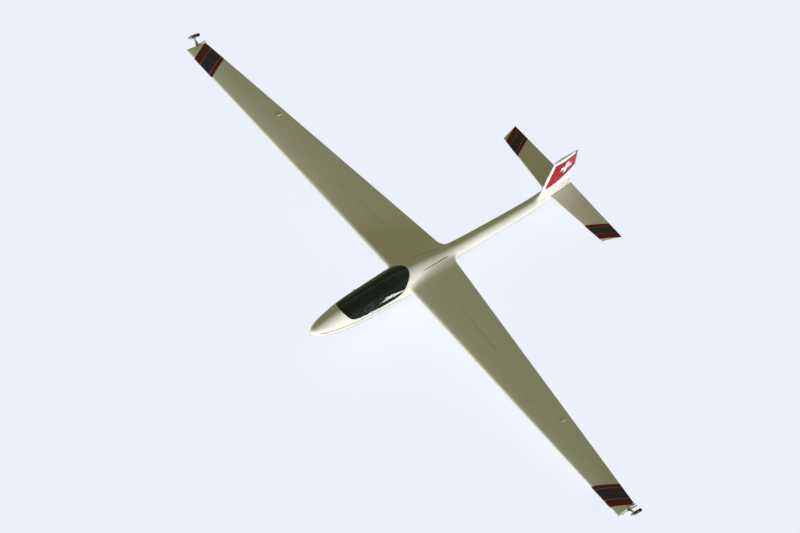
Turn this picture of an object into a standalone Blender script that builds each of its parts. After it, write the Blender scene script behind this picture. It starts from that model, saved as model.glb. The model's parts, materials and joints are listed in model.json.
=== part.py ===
"""Single-seat aerobatic sailplane, parked: main wheel, tail wheel and left wing tip on the ground.

Aircraft frame (before it is set down): x to the aircraft's left, y aft from
the nose tip, z up, with z = 0 at the leading edge of the wing's root. Metres.
The last step sets the aircraft down on its three points of contact.
"""

import math

import bmesh
import bpy
from mathutils import Matrix, Vector

# ------------------------------------------------------------ driving sizes
SPAN = 12.67
HALF_SPAN = SPAN / 2
GAP = 0.0003              # between pieces that touch
CLEAR = 0.007             # between a control surface's nose and its cove

# wing
WING_LE_Y = 2.271
WING_LE_SLOPE = -0.0268
WING_ROOT_CHORD = 1.317   # on the centreline
WING_TIP_CHORD = 0.467
WING_DIHEDRAL = 0.032     # rise per metre of span
WING_THICKNESS = 0.15
WING_RIB_X = 0.36         # plane root rib, where a wing plugs in
WING_TIP_RAKE = 0.037
AILERON_X0 = 2.63
AILERON_X1 = 6.26
AILERON_CHORD_0 = 0.178
AILERON_CHORD_1 = 0.150
BRAKE_X0 = 1.15
BRAKE_X1 = 2.25
BRAKE_AT = 0.48           # share of the chord
BRAKE_CAP = 0.034
BRAKE_HEIGHT = 0.112
BRAKE_TRAVEL = 0.10

# tail
TAIL_LE_Y = 6.309
TAIL_LE_SLOPE = 0.117
TAIL_TE_Y = 6.952
TAIL_TE_SLOPE = -0.019
TAIL_HALF = 1.480
TAIL_RAKE = 0.110
TAIL_Z = 0.061
TAIL_THICKNESS = 0.105
ELEVATOR_HINGE_Y = 6.700
ELEVATOR_X0 = 0.097       # inner end, at the hinge
ELEVATOR_X0_AFT = 0.043   # and at the trailing edge, beside the tapering tail cone
FIN_LE_Y = 6.047
FIN_TE_Y = 6.915          # upright up to FIN_TE_Z, then sloping
FIN_TE_Z = 0.40
FIN_TE_SLOPE = -0.28
FIN_TOP_Z = 1.150         # at the leading edge
FIN_TOP_RISE = 0.082      # from there to the trailing edge
FIN_THICKNESS = 0.115
RUDDER_BOTTOM_Z = 0.216
RUDDER_HINGE_Y0 = 6.575   # at RUDDER_BOTTOM_Z
RUDDER_HINGE_SLOPE = -0.155

# fuselage
WALL = 0.020
CANOPY_GAP = 0.006
CANOPY_FRAME_DEEP = 0.016
CANOPY_FRAME_WIDE = 0.034
CANOPY_GLASS = 0.006
CANOPY_HINGE = Vector((-0.300, 1.35, -0.052))
SPLIT_Y = 3.780           # where the cockpit moulding meets the tail boom

# undercarriage
MAIN_AXLE = Vector((0.0, 2.20, -0.615))
MAIN_RADIUS = 0.180
MAIN_WIDTH = 0.125
WELL_Y0, WELL_Y1 = 1.985, 2.415
WELL_HALF = 0.105
WELL_ROOF = -0.365
TAIL_AXLE = Vector((0.0, 5.95, -0.287))
TAIL_RADIUS = 0.085
TAIL_WIDTH = 0.046

# wing tips
SKID_X = 6.20
SKID_RADIUS = 0.120
CANISTER_OUT = 0.142      # from the tip rib to the middle of the canister's axis
CANISTER_UP = 0.120
CANISTER_RADIUS = 0.032
CANISTER_LENGTH = 0.300
CANISTER_TILT = math.radians(9)   # nose up

RING = 28                 # points round the fuselage
FOIL = 11                 # points along each side of a wing section

# ------------------------------------------------------------ an empty scene
for old in list(bpy.data.objects):
    bpy.data.objects.remove(old, do_unlink=True)

PARTS = bpy.data.collections.new("aerobatic_sailplane")
CUTTERS = bpy.data.collections.new("cutters")
for group in (PARTS, CUTTERS):
    bpy.context.scene.collection.children.link(group)

# the whole aircraft hangs from this empty, which sets it down at the end
stance = bpy.data.objects.new("stance", None)
PARTS.objects.link(stance)


# ------------------------------------------------------------ materials
def material(name, colour, roughness, metallic=0.0, alpha=1.0):
    made = bpy.data.materials.new(name)
    made.use_nodes = True
    shader = made.node_tree.nodes["Principled BSDF"]
    shader.inputs["Base Color"].default_value = (*colour, 1.0)
    shader.inputs["Roughness"].default_value = roughness
    shader.inputs["Metallic"].default_value = metallic
    shader.inputs["Alpha"].default_value = alpha
    return made


GELCOAT = material("gelcoat", (0.80, 0.78, 0.66), 0.25)
RED = material("red_paint", (0.50, 0.02, 0.05), 0.30)
GLASS = material("tinted_glass", (0.02, 0.03, 0.03), 0.05, alpha=0.5)
TYRE = material("tyre_rubber", (0.02, 0.02, 0.02), 0.85)
STEEL = material("steel", (0.55, 0.55, 0.56), 0.35, 1.0)
ALUMINIUM = material("aluminium", (0.70, 0.70, 0.71), 0.40, 1.0)
PANEL = material("panel_plastic", (0.03, 0.03, 0.035), 0.60)
TRIM = material("cockpit_grey", (0.25, 0.25, 0.25), 0.70)
CLOTH = material("seat_cloth", (0.05, 0.06, 0.08), 0.90)
NYLON = material("skid_nylon", (0.10, 0.10, 0.10), 0.60)
CANISTER = material("canister_red", (0.10, 0.01, 0.015), 0.50)


# ------------------------------------------------------------ making things
def place(obj, mat=None, parent=None, cutter=False):
    (CUTTERS if cutter else PARTS).objects.link(obj)
    obj.parent = parent or stance
    if parent:
        obj.matrix_parent_inverse = parent.matrix_world.inverted()
    if mat:
        obj.data.materials.append(mat)
    if cutter:
        obj.hide_render = True
        obj.display_type = "WIRE"
    return obj


def from_bmesh(name, bm, mat=None, parent=None, cutter=False, smooth=True):
    bmesh.ops.recalc_face_normals(bm, faces=bm.faces)
    if bm.calc_volume(signed=True) < 0:
        bmesh.ops.reverse_faces(bm, faces=bm.faces)
    mesh = bpy.data.meshes.new(name)
    bm.to_mesh(mesh)
    bm.free()
    if smooth and not cutter:
        mesh.shade_smooth()
        mesh.set_sharp_from_angle(angle=math.radians(40))
    return place(bpy.data.objects.new(name, mesh), mat, parent, cutter)


def loft(name, rings, mat=None, parent=None, cutter=False):
    """A closed body through rings of equally many points, split alike into triangles so that grown copies nest."""
    bm = bmesh.new()
    rows = [[bm.verts.new(p) for p in ring] for ring in rings]
    for low, high in zip(rows, rows[1:]):
        for i in range(len(low)):
            j = (i + 1) % len(low)
            bm.faces.new((low[i], low[j], high[j]))
            bm.faces.new((low[i], high[j], high[i]))
    bm.faces.new(rows[0])
    bm.faces.new(rows[-1][::-1])
    return from_bmesh(name, bm, mat, parent, cutter)


def box(name, low, high, mat=None, parent=None, cutter=False, bevel=0.0):
    bm = bmesh.new()
    bmesh.ops.create_cube(bm, size=1.0)
    low, high = Vector(low), Vector(high)
    for v in bm.verts:
        v.co = Vector(low[i] + (v.co[i] + 0.5) * (high[i] - low[i]) for i in range(3))
    made = from_bmesh(name, bm, mat, parent, cutter)
    if bevel:
        edge = made.modifiers.new("edges", "BEVEL")
        edge.width, edge.segments = bevel, 2
    return made


def cylinder(name, start, end, radius, mat=None, parent=None, cutter=False, sides=20, end_radius=None):
    start, end = Vector(start), Vector(end)
    bm = bmesh.new()
    bmesh.ops.create_cone(
        bm, cap_ends=True, segments=sides, radius1=radius,
        radius2=radius if end_radius is None else end_radius, depth=(end - start).length,
    )
    turn = (end - start).to_track_quat("Z", "Y").to_matrix().to_4x4()
    bm.transform(Matrix.Translation((start + end) / 2) @ turn)
    return from_bmesh(name, bm, mat, parent, cutter)


def prism(name, outline, half_width, mat=None, parent=None, cutter=False, x=0.0):
    """An outline of (y, z) points, extruded along x."""
    return loft(name, [[Vector((x + s * half_width, y, z)) for y, z in outline] for s in (-1, 1)], mat, parent, cutter)


def turned(name, centre, profile, mat, parent, steps=40):
    """A profile of (radius, x) points, top to bottom of its outer side, turned about the x axis."""
    bm = bmesh.new()
    corners = [bm.verts.new((r, 0.0, -x)) for r, x in profile]
    for a, b in zip(corners, corners[1:] + corners[:1]):
        bm.edges.new((a, b))
    mesh = bpy.data.meshes.new(name)
    bm.to_mesh(mesh)
    bm.free()
    made = bpy.data.objects.new(name, mesh)
    spin = made.modifiers.new("turn", "SCREW")
    spin.steps = spin.render_steps = steps
    spin.use_merge_vertices = True
    spin.merge_threshold = 0.0001
    spin.use_smooth_shade = True
    made.location = centre
    made.rotation_euler = (0.0, math.pi / 2, 0.0)
    return place(made, mat, parent)


def boolean(obj, operation, *others):
    for other in others:
        step = obj.modifiers.new(other.name, "BOOLEAN")
        step.operation = operation
        step.object = other
        step.solver = "EXACT"


def pivot(name, at, axis):
    """An empty on a joint's axis, its own z along it."""
    made = bpy.data.objects.new(name, None)
    PARTS.objects.link(made)
    made.matrix_world = Matrix.Translation(at) @ Vector(axis).to_track_quat("Z", "Y").to_matrix().to_4x4()
    made.parent = stance
    bpy.context.view_layer.update()
    return made


def mirrored(points, side):
    return [Vector((side * p[0], p[1], p[2])) for p in points]


# ------------------------------------------------------------ wing sections
def foil_height(share, thickness):
    """Half the thickness of a symmetric section, as a share of its chord."""
    s = max(share, 0.0)
    shape = 0.2969 * math.sqrt(s) - 0.1260 * s - 0.3516 * s**2 + 0.2843 * s**3 - 0.1036 * s**4
    return 5 * thickness * shape + 0.0018 * s


def foil(chord, thickness, upto=1.0, count=FOIL):
    """(distance aft, height) round a whole section, from the upper trailing edge round the nose."""
    shares = [upto * (1 - math.cos(math.pi * i / (count - 1))) / 2 for i in range(count)]
    upper = [(s * chord, foil_height(s, thickness) * chord) for s in shares]
    return upper[::-1] + [(c, -h) for c, h in upper[1:]]


def flap(chord, thickness, hinge, arc=7, aft=3, grow=0.0):
    """(distance aft, height) round a hinged surface, its nose round the hinge at distance hinge."""
    radius = foil_height(hinge / chord, thickness) * chord - 0.0004 + grow
    nose = [
        (hinge - radius * math.sin(math.pi * i / (arc + 1)), -radius * math.cos(math.pi * i / (arc + 1)))
        for i in range(arc + 2)
    ]
    upper = []
    for i in range(1, aft + 1):
        c = hinge + (chord - hinge) * i / aft
        upper.append((c, foil_height(c / chord, thickness) * chord))
    return nose + upper + [(c, -h) for c, h in upper[::-1]]


def cove(chord, thickness, hinge, arc=7):
    """The outline of the cutter that makes room for such a surface."""
    radius = foil_height(hinge / chord, thickness) * chord + CLEAR
    nose = [
        (hinge - radius * math.sin(math.pi * i / (arc + 1)), -radius * math.cos(math.pi * i / (arc + 1)))
        for i in range(arc + 2)
    ]
    return nose + [(hinge, 0.4), (chord + 0.4, 0.4), (chord + 0.4, -0.4), (hinge, -0.4)]


def wing_at(x):
    """(leading edge y, chord, height) of the wing at distance x from the centreline."""
    chord = WING_ROOT_CHORD + (WING_TIP_CHORD - WING_ROOT_CHORD) * x / HALF_SPAN
    return WING_LE_Y + WING_LE_SLOPE * x, chord, WING_DIHEDRAL * x


def wing_ring(x, outline, side, rake=0.0, squeeze=1.0):
    y, chord, z = wing_at(x)
    return mirrored([(x - rake * c / chord, y + c, z + squeeze * h) for c, h in outline], side)


def aileron_hinge(x):
    share = (x - AILERON_X0) / (AILERON_X1 - AILERON_X0)
    return wing_at(x)[1] - (AILERON_CHORD_0 + (AILERON_CHORD_1 - AILERON_CHORD_0) * share)


def tail_at(x):
    y = TAIL_LE_Y + TAIL_LE_SLOPE * x
    return y, TAIL_TE_Y + TAIL_TE_SLOPE * x - y, TAIL_Z


def tail_ring(x, outline, side, rake=0.0, squeeze=1.0):
    y, chord, z = tail_at(x)
    return mirrored([(x + rake * c / chord, y + c, z + squeeze * h) for c, h in outline], side)


def fin_at(z):
    return FIN_LE_Y, FIN_TE_Y + FIN_TE_SLOPE * max(z - FIN_TE_Z, 0.0) - FIN_LE_Y


def fin_ring(z, outline, rise=0.0, squeeze=1.0):
    y, chord = fin_at(z + rise)
    return [Vector((squeeze * h, y + c, z + rise * c / chord)) for c, h in outline]


def rudder_hinge(z, rise=0.0):
    """Distance aft of the leading edge, on a ring that climbs by rise over its chord."""
    level = RUDDER_HINGE_Y0 + RUDDER_HINGE_SLOPE * (z - RUDDER_BOTTOM_Z) - FIN_LE_Y
    return level / (1 - RUDDER_HINGE_SLOPE * rise / fin_at(z + rise)[1])


# ------------------------------------------------------------ fuselage
# station y, centre z, half width, height above centre, depth below centre
STATIONS = (
    (0.000, -0.120, 0.012, 0.012, 0.012),
    (0.030, -0.122, 0.062, 0.058, 0.058),
    (0.110, -0.129, 0.110, 0.106, 0.106),
    (0.260, -0.137, 0.165, 0.170, 0.167),
    (0.500, -0.140, 0.214, 0.248, 0.242),
    (0.740, -0.139, 0.249, 0.308, 0.305),
    (1.000, -0.140, 0.274, 0.352, 0.355),
    (1.400, -0.140, 0.290, 0.396, 0.395),
    (1.800, -0.128, 0.303, 0.420, 0.400),
    (2.200, -0.105, 0.315, 0.415, 0.400),
    (2.600, -0.090, 0.296, 0.375, 0.365),
    (3.000, -0.085, 0.248, 0.300, 0.300),
    (3.400, -0.083, 0.198, 0.225, 0.230),
    (SPLIT_Y, -0.082, 0.164, 0.175, 0.180),
    (4.200, -0.084, 0.150, 0.153, 0.160),
    (4.700, -0.087, 0.143, 0.144, 0.148),
    (5.250, -0.092, 0.138, 0.138, 0.142),
    (5.700, -0.075, 0.130, 0.131, 0.135),
    (6.000, -0.052, 0.124, 0.132, 0.128),
    (6.200, -0.020, 0.122, 0.150, 0.126),
    (6.450, 0.012, 0.110, 0.165, 0.122),
    (6.700, 0.035, 0.084, 0.162, 0.110),
    (6.885, 0.050, 0.046, 0.148, 0.088),
)
ROUND_TOP, ROUND_BOTTOM = 2.0, 2.3


def hull_ring(station, grow=0.0, points=RING):
    y, centre, wide, up, down = station
    ring = []
    for i in range(points):
        t = 2 * math.pi * i / points
        c, s = math.cos(t), math.sin(t)
        power = ROUND_TOP if s >= 0 else ROUND_BOTTOM
        high = (up if s >= 0 else down) + grow
        ring.append(Vector((
            (wide + grow) * math.copysign(abs(c) ** (2 / power), c), y,
            centre + high * math.copysign(abs(s) ** (2 / power), s),
        )))
    return ring


def hull(name, first, last, grow=0.0, **kind):
    """The fuselage's outside between two stations, moved out by grow."""
    rows = [s for s in STATIONS if first <= s[0] <= last]
    return loft(name, [hull_ring(s, grow) for s in rows], **kind)


def moved(path, by):
    """An open path of (y, z) points moved to its left by a distance."""
    out = []
    for i, p in enumerate(path):
        a, b = path[max(i - 1, 0)], path[min(i + 1, len(path) - 1)]
        run = Vector((b[0] - a[0], b[1] - a[1])).normalized()
        out.append((p[0] - run[1] * by, p[1] + run[0] * by))
    return out


# the canopy's edge seen from the side, (y, z), front to back
CANOPY_EDGE = (
    (0.560, 0.260), (0.645, 0.160), (0.690, 0.118), (0.765, 0.042), (0.860, -0.012),
    (1.100, -0.042), (1.420, -0.052), (1.720, -0.042), (1.900, -0.018), (2.020, 0.014), (2.130, 0.088),
    (2.230, 0.195), (2.330, 0.275), (2.390, 0.325), (2.440, 0.400),
)


def above(path):
    return list(path) + [(path[-1][0], 0.9), (path[0][0], 0.9)]


whole_hull = hull("cut_whole_hull", 0.0, 9.0, GAP, cutter=True)

fuselage_shell = hull("fuselage_shell", 0.0, SPLIT_Y, mat=GELCOAT)
for side, word in ((1, "left"), (-1, "right")):
    # distance from centre, leading edge moved, trailing edge moved, thickness scaled
    stub = []
    for x, front, back, scale in ((0.10, -0.050, 0.200, 1.45), (0.17, -0.035, 0.130, 1.36), (0.24, -0.015, 0.055, 1.18),
                                  (0.30, -0.004, 0.012, 1.04), (WING_RIB_X, 0.0, 0.0, 1.0)):
        y, chord, z = wing_at(x)
        whole = chord + back - front
        stub.append(mirrored([(x, y + front + c, z + h * scale * chord / whole) for c, h in foil(whole, WING_THICKNESS)], side))
    root = loft("join_root_" + word, stub, cutter=True)
    boolean(fuselage_shell, "UNION", root)

cavity = hull("cut_cockpit", 0.2, 2.7, -WALL, cutter=True)
room = prism("cut_cockpit_room", [(0.33, -0.9), (0.33, 0.9), (2.47, 0.9), (2.47, 0.02), (2.17, -0.01), (2.14, -0.05),
                                  (1.86, -0.40), (1.82, -0.9)], 0.5, cutter=True)
boolean(cavity, "INTERSECT", room)
opening = prism("cut_canopy_opening", above(CANOPY_EDGE), 0.34, cutter=True)
well = box("cut_wheel_well", (-WELL_HALF, WELL_Y0, -0.8), (WELL_HALF, WELL_Y1, WELL_ROOF), cutter=True)
boolean(fuselage_shell, "DIFFERENCE", cavity, opening, well)

tail_boom = loft("tail_boom", [hull_ring(STATIONS[13][:0] + (SPLIT_Y + GAP,) + STATIONS[13][1:])]
                 + [hull_ring(s) for s in STATIONS if s[0] > SPLIT_Y], mat=GELCOAT)
tube_hole = cylinder("cut_torque_tube", (-0.2, ELEVATOR_HINGE_Y, TAIL_Z), (0.2, ELEVATOR_HINGE_Y, TAIL_Z), 0.018, cutter=True)
boolean(tail_boom, "DIFFERENCE", tube_hole)

# ------------------------------------------------------------ canopy
canopy_pivot = pivot("canopy_hinge_axis", CANOPY_HINGE, (0, 1, 0))
edge_out = moved(CANOPY_EDGE, CANOPY_GAP)
edge_in = moved(CANOPY_EDGE, CANOPY_GAP + CANOPY_FRAME_WIDE)
edge_glass = moved(CANOPY_EDGE, CANOPY_GAP + CANOPY_FRAME_WIDE + GAP)
frame_inner = hull("cut_frame_inside", 0.2, 3.1, -CANOPY_FRAME_DEEP, cutter=True)
glass_inner = hull("cut_glass_inside", 0.2, 3.1, -CANOPY_GLASS, cutter=True)
frame_zone = prism("cut_frame_outline", above(edge_out), 0.5, cutter=True)
frame_hole = prism("cut_frame_window", above(edge_in), 0.6, cutter=True)
glass_zone = prism("cut_glass_outline", above(edge_glass), 0.5, cutter=True)
canopy_frame = hull("canopy_frame", 0.2, 3.1, mat=PANEL, parent=canopy_pivot)
boolean(canopy_frame, "INTERSECT", frame_zone)
boolean(canopy_frame, "DIFFERENCE", frame_inner, frame_hole)
canopy_glass = hull("canopy_glass", 0.2, 3.1, mat=GLASS, parent=canopy_pivot)
boolean(canopy_glass, "INTERSECT", glass_zone)
boolean(canopy_glass, "DIFFERENCE", glass_inner)

# ------------------------------------------------------------ wings, ailerons, airbrakes
TIP_X = HALF_SPAN - 0.030
for side, word in ((1, "left"), (-1, "right")):
    rings = []
    for x in (WING_RIB_X + GAP, 2.4, 4.4, TIP_X - 0.02):
        rings.append(wing_ring(x, foil(wing_at(x)[1], WING_THICKNESS), side))
    rings.append(wing_ring(TIP_X, foil(wing_at(TIP_X)[1], WING_THICKNESS), side, WING_TIP_RAKE * 0.7, 0.86))
    rings.append(wing_ring(HALF_SPAN - 0.006, foil(wing_at(HALF_SPAN)[1], WING_THICKNESS), side, WING_TIP_RAKE, 0.45))
    wing = loft("wing_" + word, rings, GELCOAT)
    bay = loft("cut_aileron_bay_" + word, [
        wing_ring(x, cove(wing_at(x)[1], WING_THICKNESS, aileron_hinge(x)), side)
        for x in (AILERON_X0 - 0.006, AILERON_X1 + 0.006)], cutter=True)
    boolean(wing, "DIFFERENCE", bay)

    ends = [mirrored([(x, wing_at(x)[0] + aileron_hinge(x), wing_at(x)[2])], side)[0] for x in (AILERON_X0, AILERON_X1)]
    aileron_pivot = pivot("aileron_%s_axis" % word, (ends[0] + ends[1]) / 2, side * (ends[1] - ends[0]))
    loft("aileron_" + word, [
        wing_ring(x, flap(wing_at(x)[1], WING_THICKNESS, aileron_hinge(x)), side)
        for x in (AILERON_X0, AILERON_X1)], GELCOAT, aileron_pivot)

    # the airbrake: a blade under a cap strip that lies in the upper skin
    tops = []
    for x in (BRAKE_X0, BRAKE_X1):
        y, chord, z = wing_at(x)
        tops.append(mirrored([(x, y + BRAKE_AT * chord, z + foil_height(BRAKE_AT, WING_THICKNESS) * chord)], side)[0])
    along = (tops[1] - tops[0]).normalized()
    lift = (Vector((0, 0, 1)) - along * along.z).normalized()
    across = along.cross(lift)
    brake_pivot = pivot("airbrake_%s_axis" % word, (tops[0] + tops[1]) / 2, lift)

    def strip(start, end, outline):
        return [[p + across * a + lift * h for a, h in outline] for p in (start, end)]

    half = BRAKE_CAP / 2
    tee = [(-half, -0.001), (-half, -0.007), (-0.006, -0.007), (-0.006, -BRAKE_HEIGHT), (0.006, -BRAKE_HEIGHT),
           (0.006, -0.007), (half, -0.007), (half, -0.001)]
    loft("airbrake_" + word, strip(tops[0], tops[1], tee), ALUMINIUM, brake_pivot)
    slot = loft("cut_airbrake_slot_" + word, strip(
        tops[0] - along * 0.006, tops[1] + along * 0.006,
        [(-half - 0.006, 0.1), (-half - 0.006, -0.0125 - 0.003), (-0.0125, -0.0155), (-0.0125, -BRAKE_HEIGHT - 0.006),
         (0.0125, -BRAKE_HEIGHT - 0.006), (0.0125, -0.0155), (half + 0.006, -0.0155), (half + 0.006, 0.1)]), cutter=True)
    boolean(wing, "DIFFERENCE", slot)

    # wing-tip skid, a half disc under the tip, cut to the skin above it
    y, chord, z = wing_at(SKID_X)
    wing_skin = loft("cut_wing_skin_" + word, [
        wing_ring(x, foil(wing_at(x)[1], WING_THICKNESS + 2.4 * GAP / wing_at(x)[1]), side) for x in (5.9, TIP_X - 0.02, 6.6)], cutter=True)
    disc = [(y + 0.50 * chord - 0.03 + SKID_RADIUS * math.cos(t), z - 0.0 + SKID_RADIUS * math.sin(t))
            for t in (math.pi * (1 + i / 14) for i in range(15))]
    tip_skid = prism("tip_skid_" + word, disc, 0.011, NYLON, x=side * SKID_X)
    boolean(tip_skid, "DIFFERENCE", wing_skin)

    # plate on the tip rib, strut, and smoke canister outboard of it
    y, chord, z = wing_at(HALF_SPAN)
    rib = HALF_SPAN - 0.006 + GAP

    def tip_point(share, out, high):
        return Vector((side * (rib - WING_TIP_RAKE * share + out), y + share * chord, z + high))

    plate = loft("smoke_mount_" + word, [
        [tip_point(0.16, out, -0.006), tip_point(0.16, out, 0.006), tip_point(1.08, out, 0.006), tip_point(1.08, out, -0.006)]
        for out in (0.0, 0.009)], STEEL)
    bar = loft("join_smoke_bar_" + word, [
        [tip_point(share, out + o, h) for o, h in ((-0.010, -0.003), (0.010, -0.003), (0.010, 0.003), (-0.010, 0.003))]
        for share, out in ((0.50, 0.012), (1.07, 0.046))], cutter=True)

    # the canister's axis, the way to it from the rib, and the way across both
    centre = Vector((side * (rib + CANISTER_OUT), y + 0.575 * chord, z + CANISTER_UP))
    axis = Vector((0, math.cos(CANISTER_TILT), -math.sin(CANISTER_TILT)))
    lean = Vector((side * CANISTER_OUT, 0, CANISTER_UP))
    lean = (lean - axis * lean.dot(axis)).normalized()
    across = axis.cross(lean) * -side

    def under(along, away, sideways):
        return centre + axis * along - lean * away + across * sideways

    base = Vector((side * (rib - 0.016), y + 0.60 * chord, z))
    arm = loft("join_smoke_arm_" + word, [
        [base + Vector((0, l, h)) for l, h in ((-0.050, -0.004), (0.050, -0.004), (0.050, 0.004), (-0.050, 0.004))],
        [under(l, CANISTER_RADIUS + 0.004, h) for l, h in ((-0.018, -0.003), (0.018, -0.003), (0.018, 0.003), (-0.018, 0.003))]], cutter=True)
    saddle = loft("join_smoke_saddle_" + word, [
        [under(l, CANISTER_RADIUS + a, h) for a, h in ((GAP, -0.011), (GAP, 0.011), (0.007, 0.011), (0.007, -0.011))] for l in (-0.055, 0.055)],
        cutter=True)
    boolean(plate, "UNION", bar, arm, saddle)
    loft("smoke_canister_" + word, [
        [centre + axis * d + (lean * math.cos(t) + across * math.sin(t)) * r for t in (2 * math.pi * (i + 0.5) / 18 for i in range(18))]
        for d, r in ((-CANISTER_LENGTH / 2, 0.010), (-CANISTER_LENGTH / 2 + 0.012, 0.017), (-CANISTER_LENGTH / 2 + 0.06, CANISTER_RADIUS),
                     (CANISTER_LENGTH / 2, CANISTER_RADIUS))], CANISTER)

# ------------------------------------------------------------ tail surfaces
elevator_pivot = pivot("elevator_axis", (0, ELEVATOR_HINGE_Y, TAIL_Z), (1, 0, 0))
for side, word in ((1, "left"), (-1, "right")):
    def elevator_hinge(x):
        return ELEVATOR_HINGE_Y - tail_at(x)[0]

    def stab_outline(x):
        return foil(tail_at(x)[1], TAIL_THICKNESS)

    rings = [tail_ring(x, stab_outline(x), side, TAIL_RAKE * share) for x, share in ((0.02, 0.0), (0.8, 0.0))]
    rings.append(tail_ring(TAIL_HALF - 0.03, stab_outline(TAIL_HALF - 0.03), side, TAIL_RAKE))
    rings.append(tail_ring(TAIL_HALF, stab_outline(TAIL_HALF), side, TAIL_RAKE, 0.5))
    tailplane = loft("tailplane_" + word, rings, GELCOAT)
    bay = loft("cut_elevator_bay_" + word, [
        tail_ring(x, cove(tail_at(x)[1], TAIL_THICKNESS, elevator_hinge(x)), side) for x in (-0.03, 1.9)], cutter=True)
    boolean(tailplane, "DIFFERENCE", bay, whole_hull)
    x_tip = TAIL_HALF - 0.03
    y, chord, z = tail_at(ELEVATOR_X0)
    hinge = elevator_hinge(ELEVATOR_X0)
    inner = flap(chord, TAIL_THICKNESS, hinge)
    rings = [mirrored([(ELEVATOR_X0 + (ELEVATOR_X0_AFT - ELEVATOR_X0) * max(c - hinge, 0.0) / (chord - hinge), y + c, z + h)
                       for c, h in inner], side),
             tail_ring(0.8, flap(tail_at(0.8)[1], TAIL_THICKNESS, elevator_hinge(0.8)), side),
             tail_ring(x_tip, flap(tail_at(x_tip)[1], TAIL_THICKNESS, elevator_hinge(x_tip)), side, TAIL_RAKE),
             tail_ring(TAIL_HALF, flap(tail_at(TAIL_HALF)[1], TAIL_THICKNESS, elevator_hinge(TAIL_HALF)), side, TAIL_RAKE, 0.5)]
    loft("elevator_" + word, rings, GELCOAT, elevator_pivot)
TUBE_END = ELEVATOR_X0 - 0.008
cylinder("elevator_torque_tube", (-TUBE_END, ELEVATOR_HINGE_Y, TAIL_Z), (TUBE_END, ELEVATOR_HINGE_Y, TAIL_Z), 0.012, STEEL, elevator_pivot, sides=16)

FIN_ROWS = (FIN_TE_Z, 0.75, FIN_TOP_Z - 0.02)
FIN_TOPS = ((FIN_TOP_Z - 0.004, 0.90), (FIN_TOP_Z + 0.004, 0.55))     # height at the leading edge, thickness scaled
fin_rings = [fin_ring(z, foil(fin_at(z)[1], FIN_THICKNESS)) for z in (0.0,) + FIN_ROWS[:2]]
fin_rings.append(fin_ring(FIN_ROWS[2], foil(fin_at(FIN_TOP_Z + FIN_TOP_RISE)[1], FIN_THICKNESS), FIN_TOP_RISE))
fin_rings += [fin_ring(z, foil(fin_at(z + FIN_TOP_RISE)[1], FIN_THICKNESS), FIN_TOP_RISE, scale) for z, scale in FIN_TOPS]
fin = loft("fin", fin_rings, RED)
rudder_bay = loft("cut_rudder_bay", [fin_ring(z, cove(fin_at(z)[1], FIN_THICKNESS, rudder_hinge(z)))
                                     for z in (RUDDER_BOTTOM_Z - 0.009, FIN_TE_Z, 1.5)], cutter=True)
boolean(fin, "DIFFERENCE", rudder_bay, whole_hull)
rudder_top = Vector((0, FIN_LE_Y + rudder_hinge(FIN_TOP_Z), FIN_TOP_Z))
rudder_low = Vector((0, FIN_LE_Y + rudder_hinge(RUDDER_BOTTOM_Z), RUDDER_BOTTOM_Z))
rudder_pivot = pivot("rudder_axis", (rudder_top + rudder_low) / 2, rudder_top - rudder_low)


def rudder_ring(z, rise=0.0, scale=1.0):
    return fin_ring(z, flap(fin_at(z + rise)[1], FIN_THICKNESS, rudder_hinge(z, rise)), rise, scale)


rudder_rings = [rudder_ring(z) for z in (RUDDER_BOTTOM_Z,) + FIN_ROWS[:2]]
rudder_rings += [rudder_ring(FIN_ROWS[2], FIN_TOP_RISE)] + [rudder_ring(z, FIN_TOP_RISE, scale) for z, scale in FIN_TOPS]
loft("rudder", rudder_rings, RED, rudder_pivot)

# ------------------------------------------------------------ undercarriage
main_pivot = pivot("main_wheel_axis", MAIN_AXLE, (1, 0, 0))
R, W = MAIN_RADIUS, MAIN_WIDTH / 2
turned("main_tyre", MAIN_AXLE, [(0.088, -0.048), (0.100, -0.058), (0.135, -W), (0.160, -0.054), (0.174, -0.036), (R, -0.016), (R, 0.016),
                                (0.174, 0.036), (0.160, 0.054), (0.135, W), (0.100, 0.058), (0.088, 0.048)], TYRE, main_pivot, 36)
turned("main_rim", MAIN_AXLE, [(0.0135, -0.050), (0.040, -0.050), (0.050, -0.020), (0.070, -0.020), (0.078, -0.055), (0.0875, -0.055), (0.0875, 0.055),
                               (0.078, 0.055), (0.070, 0.020), (0.050, 0.020), (0.040, 0.050), (0.0135, 0.050)], ALUMINIUM, main_pivot, 30)
cylinder("main_axle", MAIN_AXLE - Vector((0.0757, 0, 0)), MAIN_AXLE + Vector((0.0757, 0, 0)), 0.012, STEEL, sides=16)
gear_leg = box("main_gear_fork", (-0.089, 2.165, WELL_ROOF - 0.030), (0.089, 2.235, WELL_ROOF - GAP), STEEL)
for side, word in ((1, "left"), (-1, "right")):
    leg = prism("join_gear_leg_" + word, [(2.165, WELL_ROOF - 0.01), (2.165, -0.60), (2.180, -0.645), (2.220, -0.645), (2.235, -0.60),
                                          (2.235, WELL_ROOF - 0.01)], 0.0065, cutter=True, x=side * 0.0825)
    boolean(gear_leg, "UNION", leg)
    # the wheel doors hang open from the sides of the well
    outline = [(WELL_Y0 + 0.004, -0.44), (WELL_Y0 + 0.004, -0.60), (WELL_Y0 + 0.05, -0.66), (WELL_Y1 - 0.05, -0.66), (WELL_Y1 - 0.004, -0.60),
               (WELL_Y1 - 0.004, -0.44)]
    prism("gear_door_" + word, outline, 0.002, GELCOAT, x=side * (WELL_HALF - 0.002 - GAP))

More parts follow.
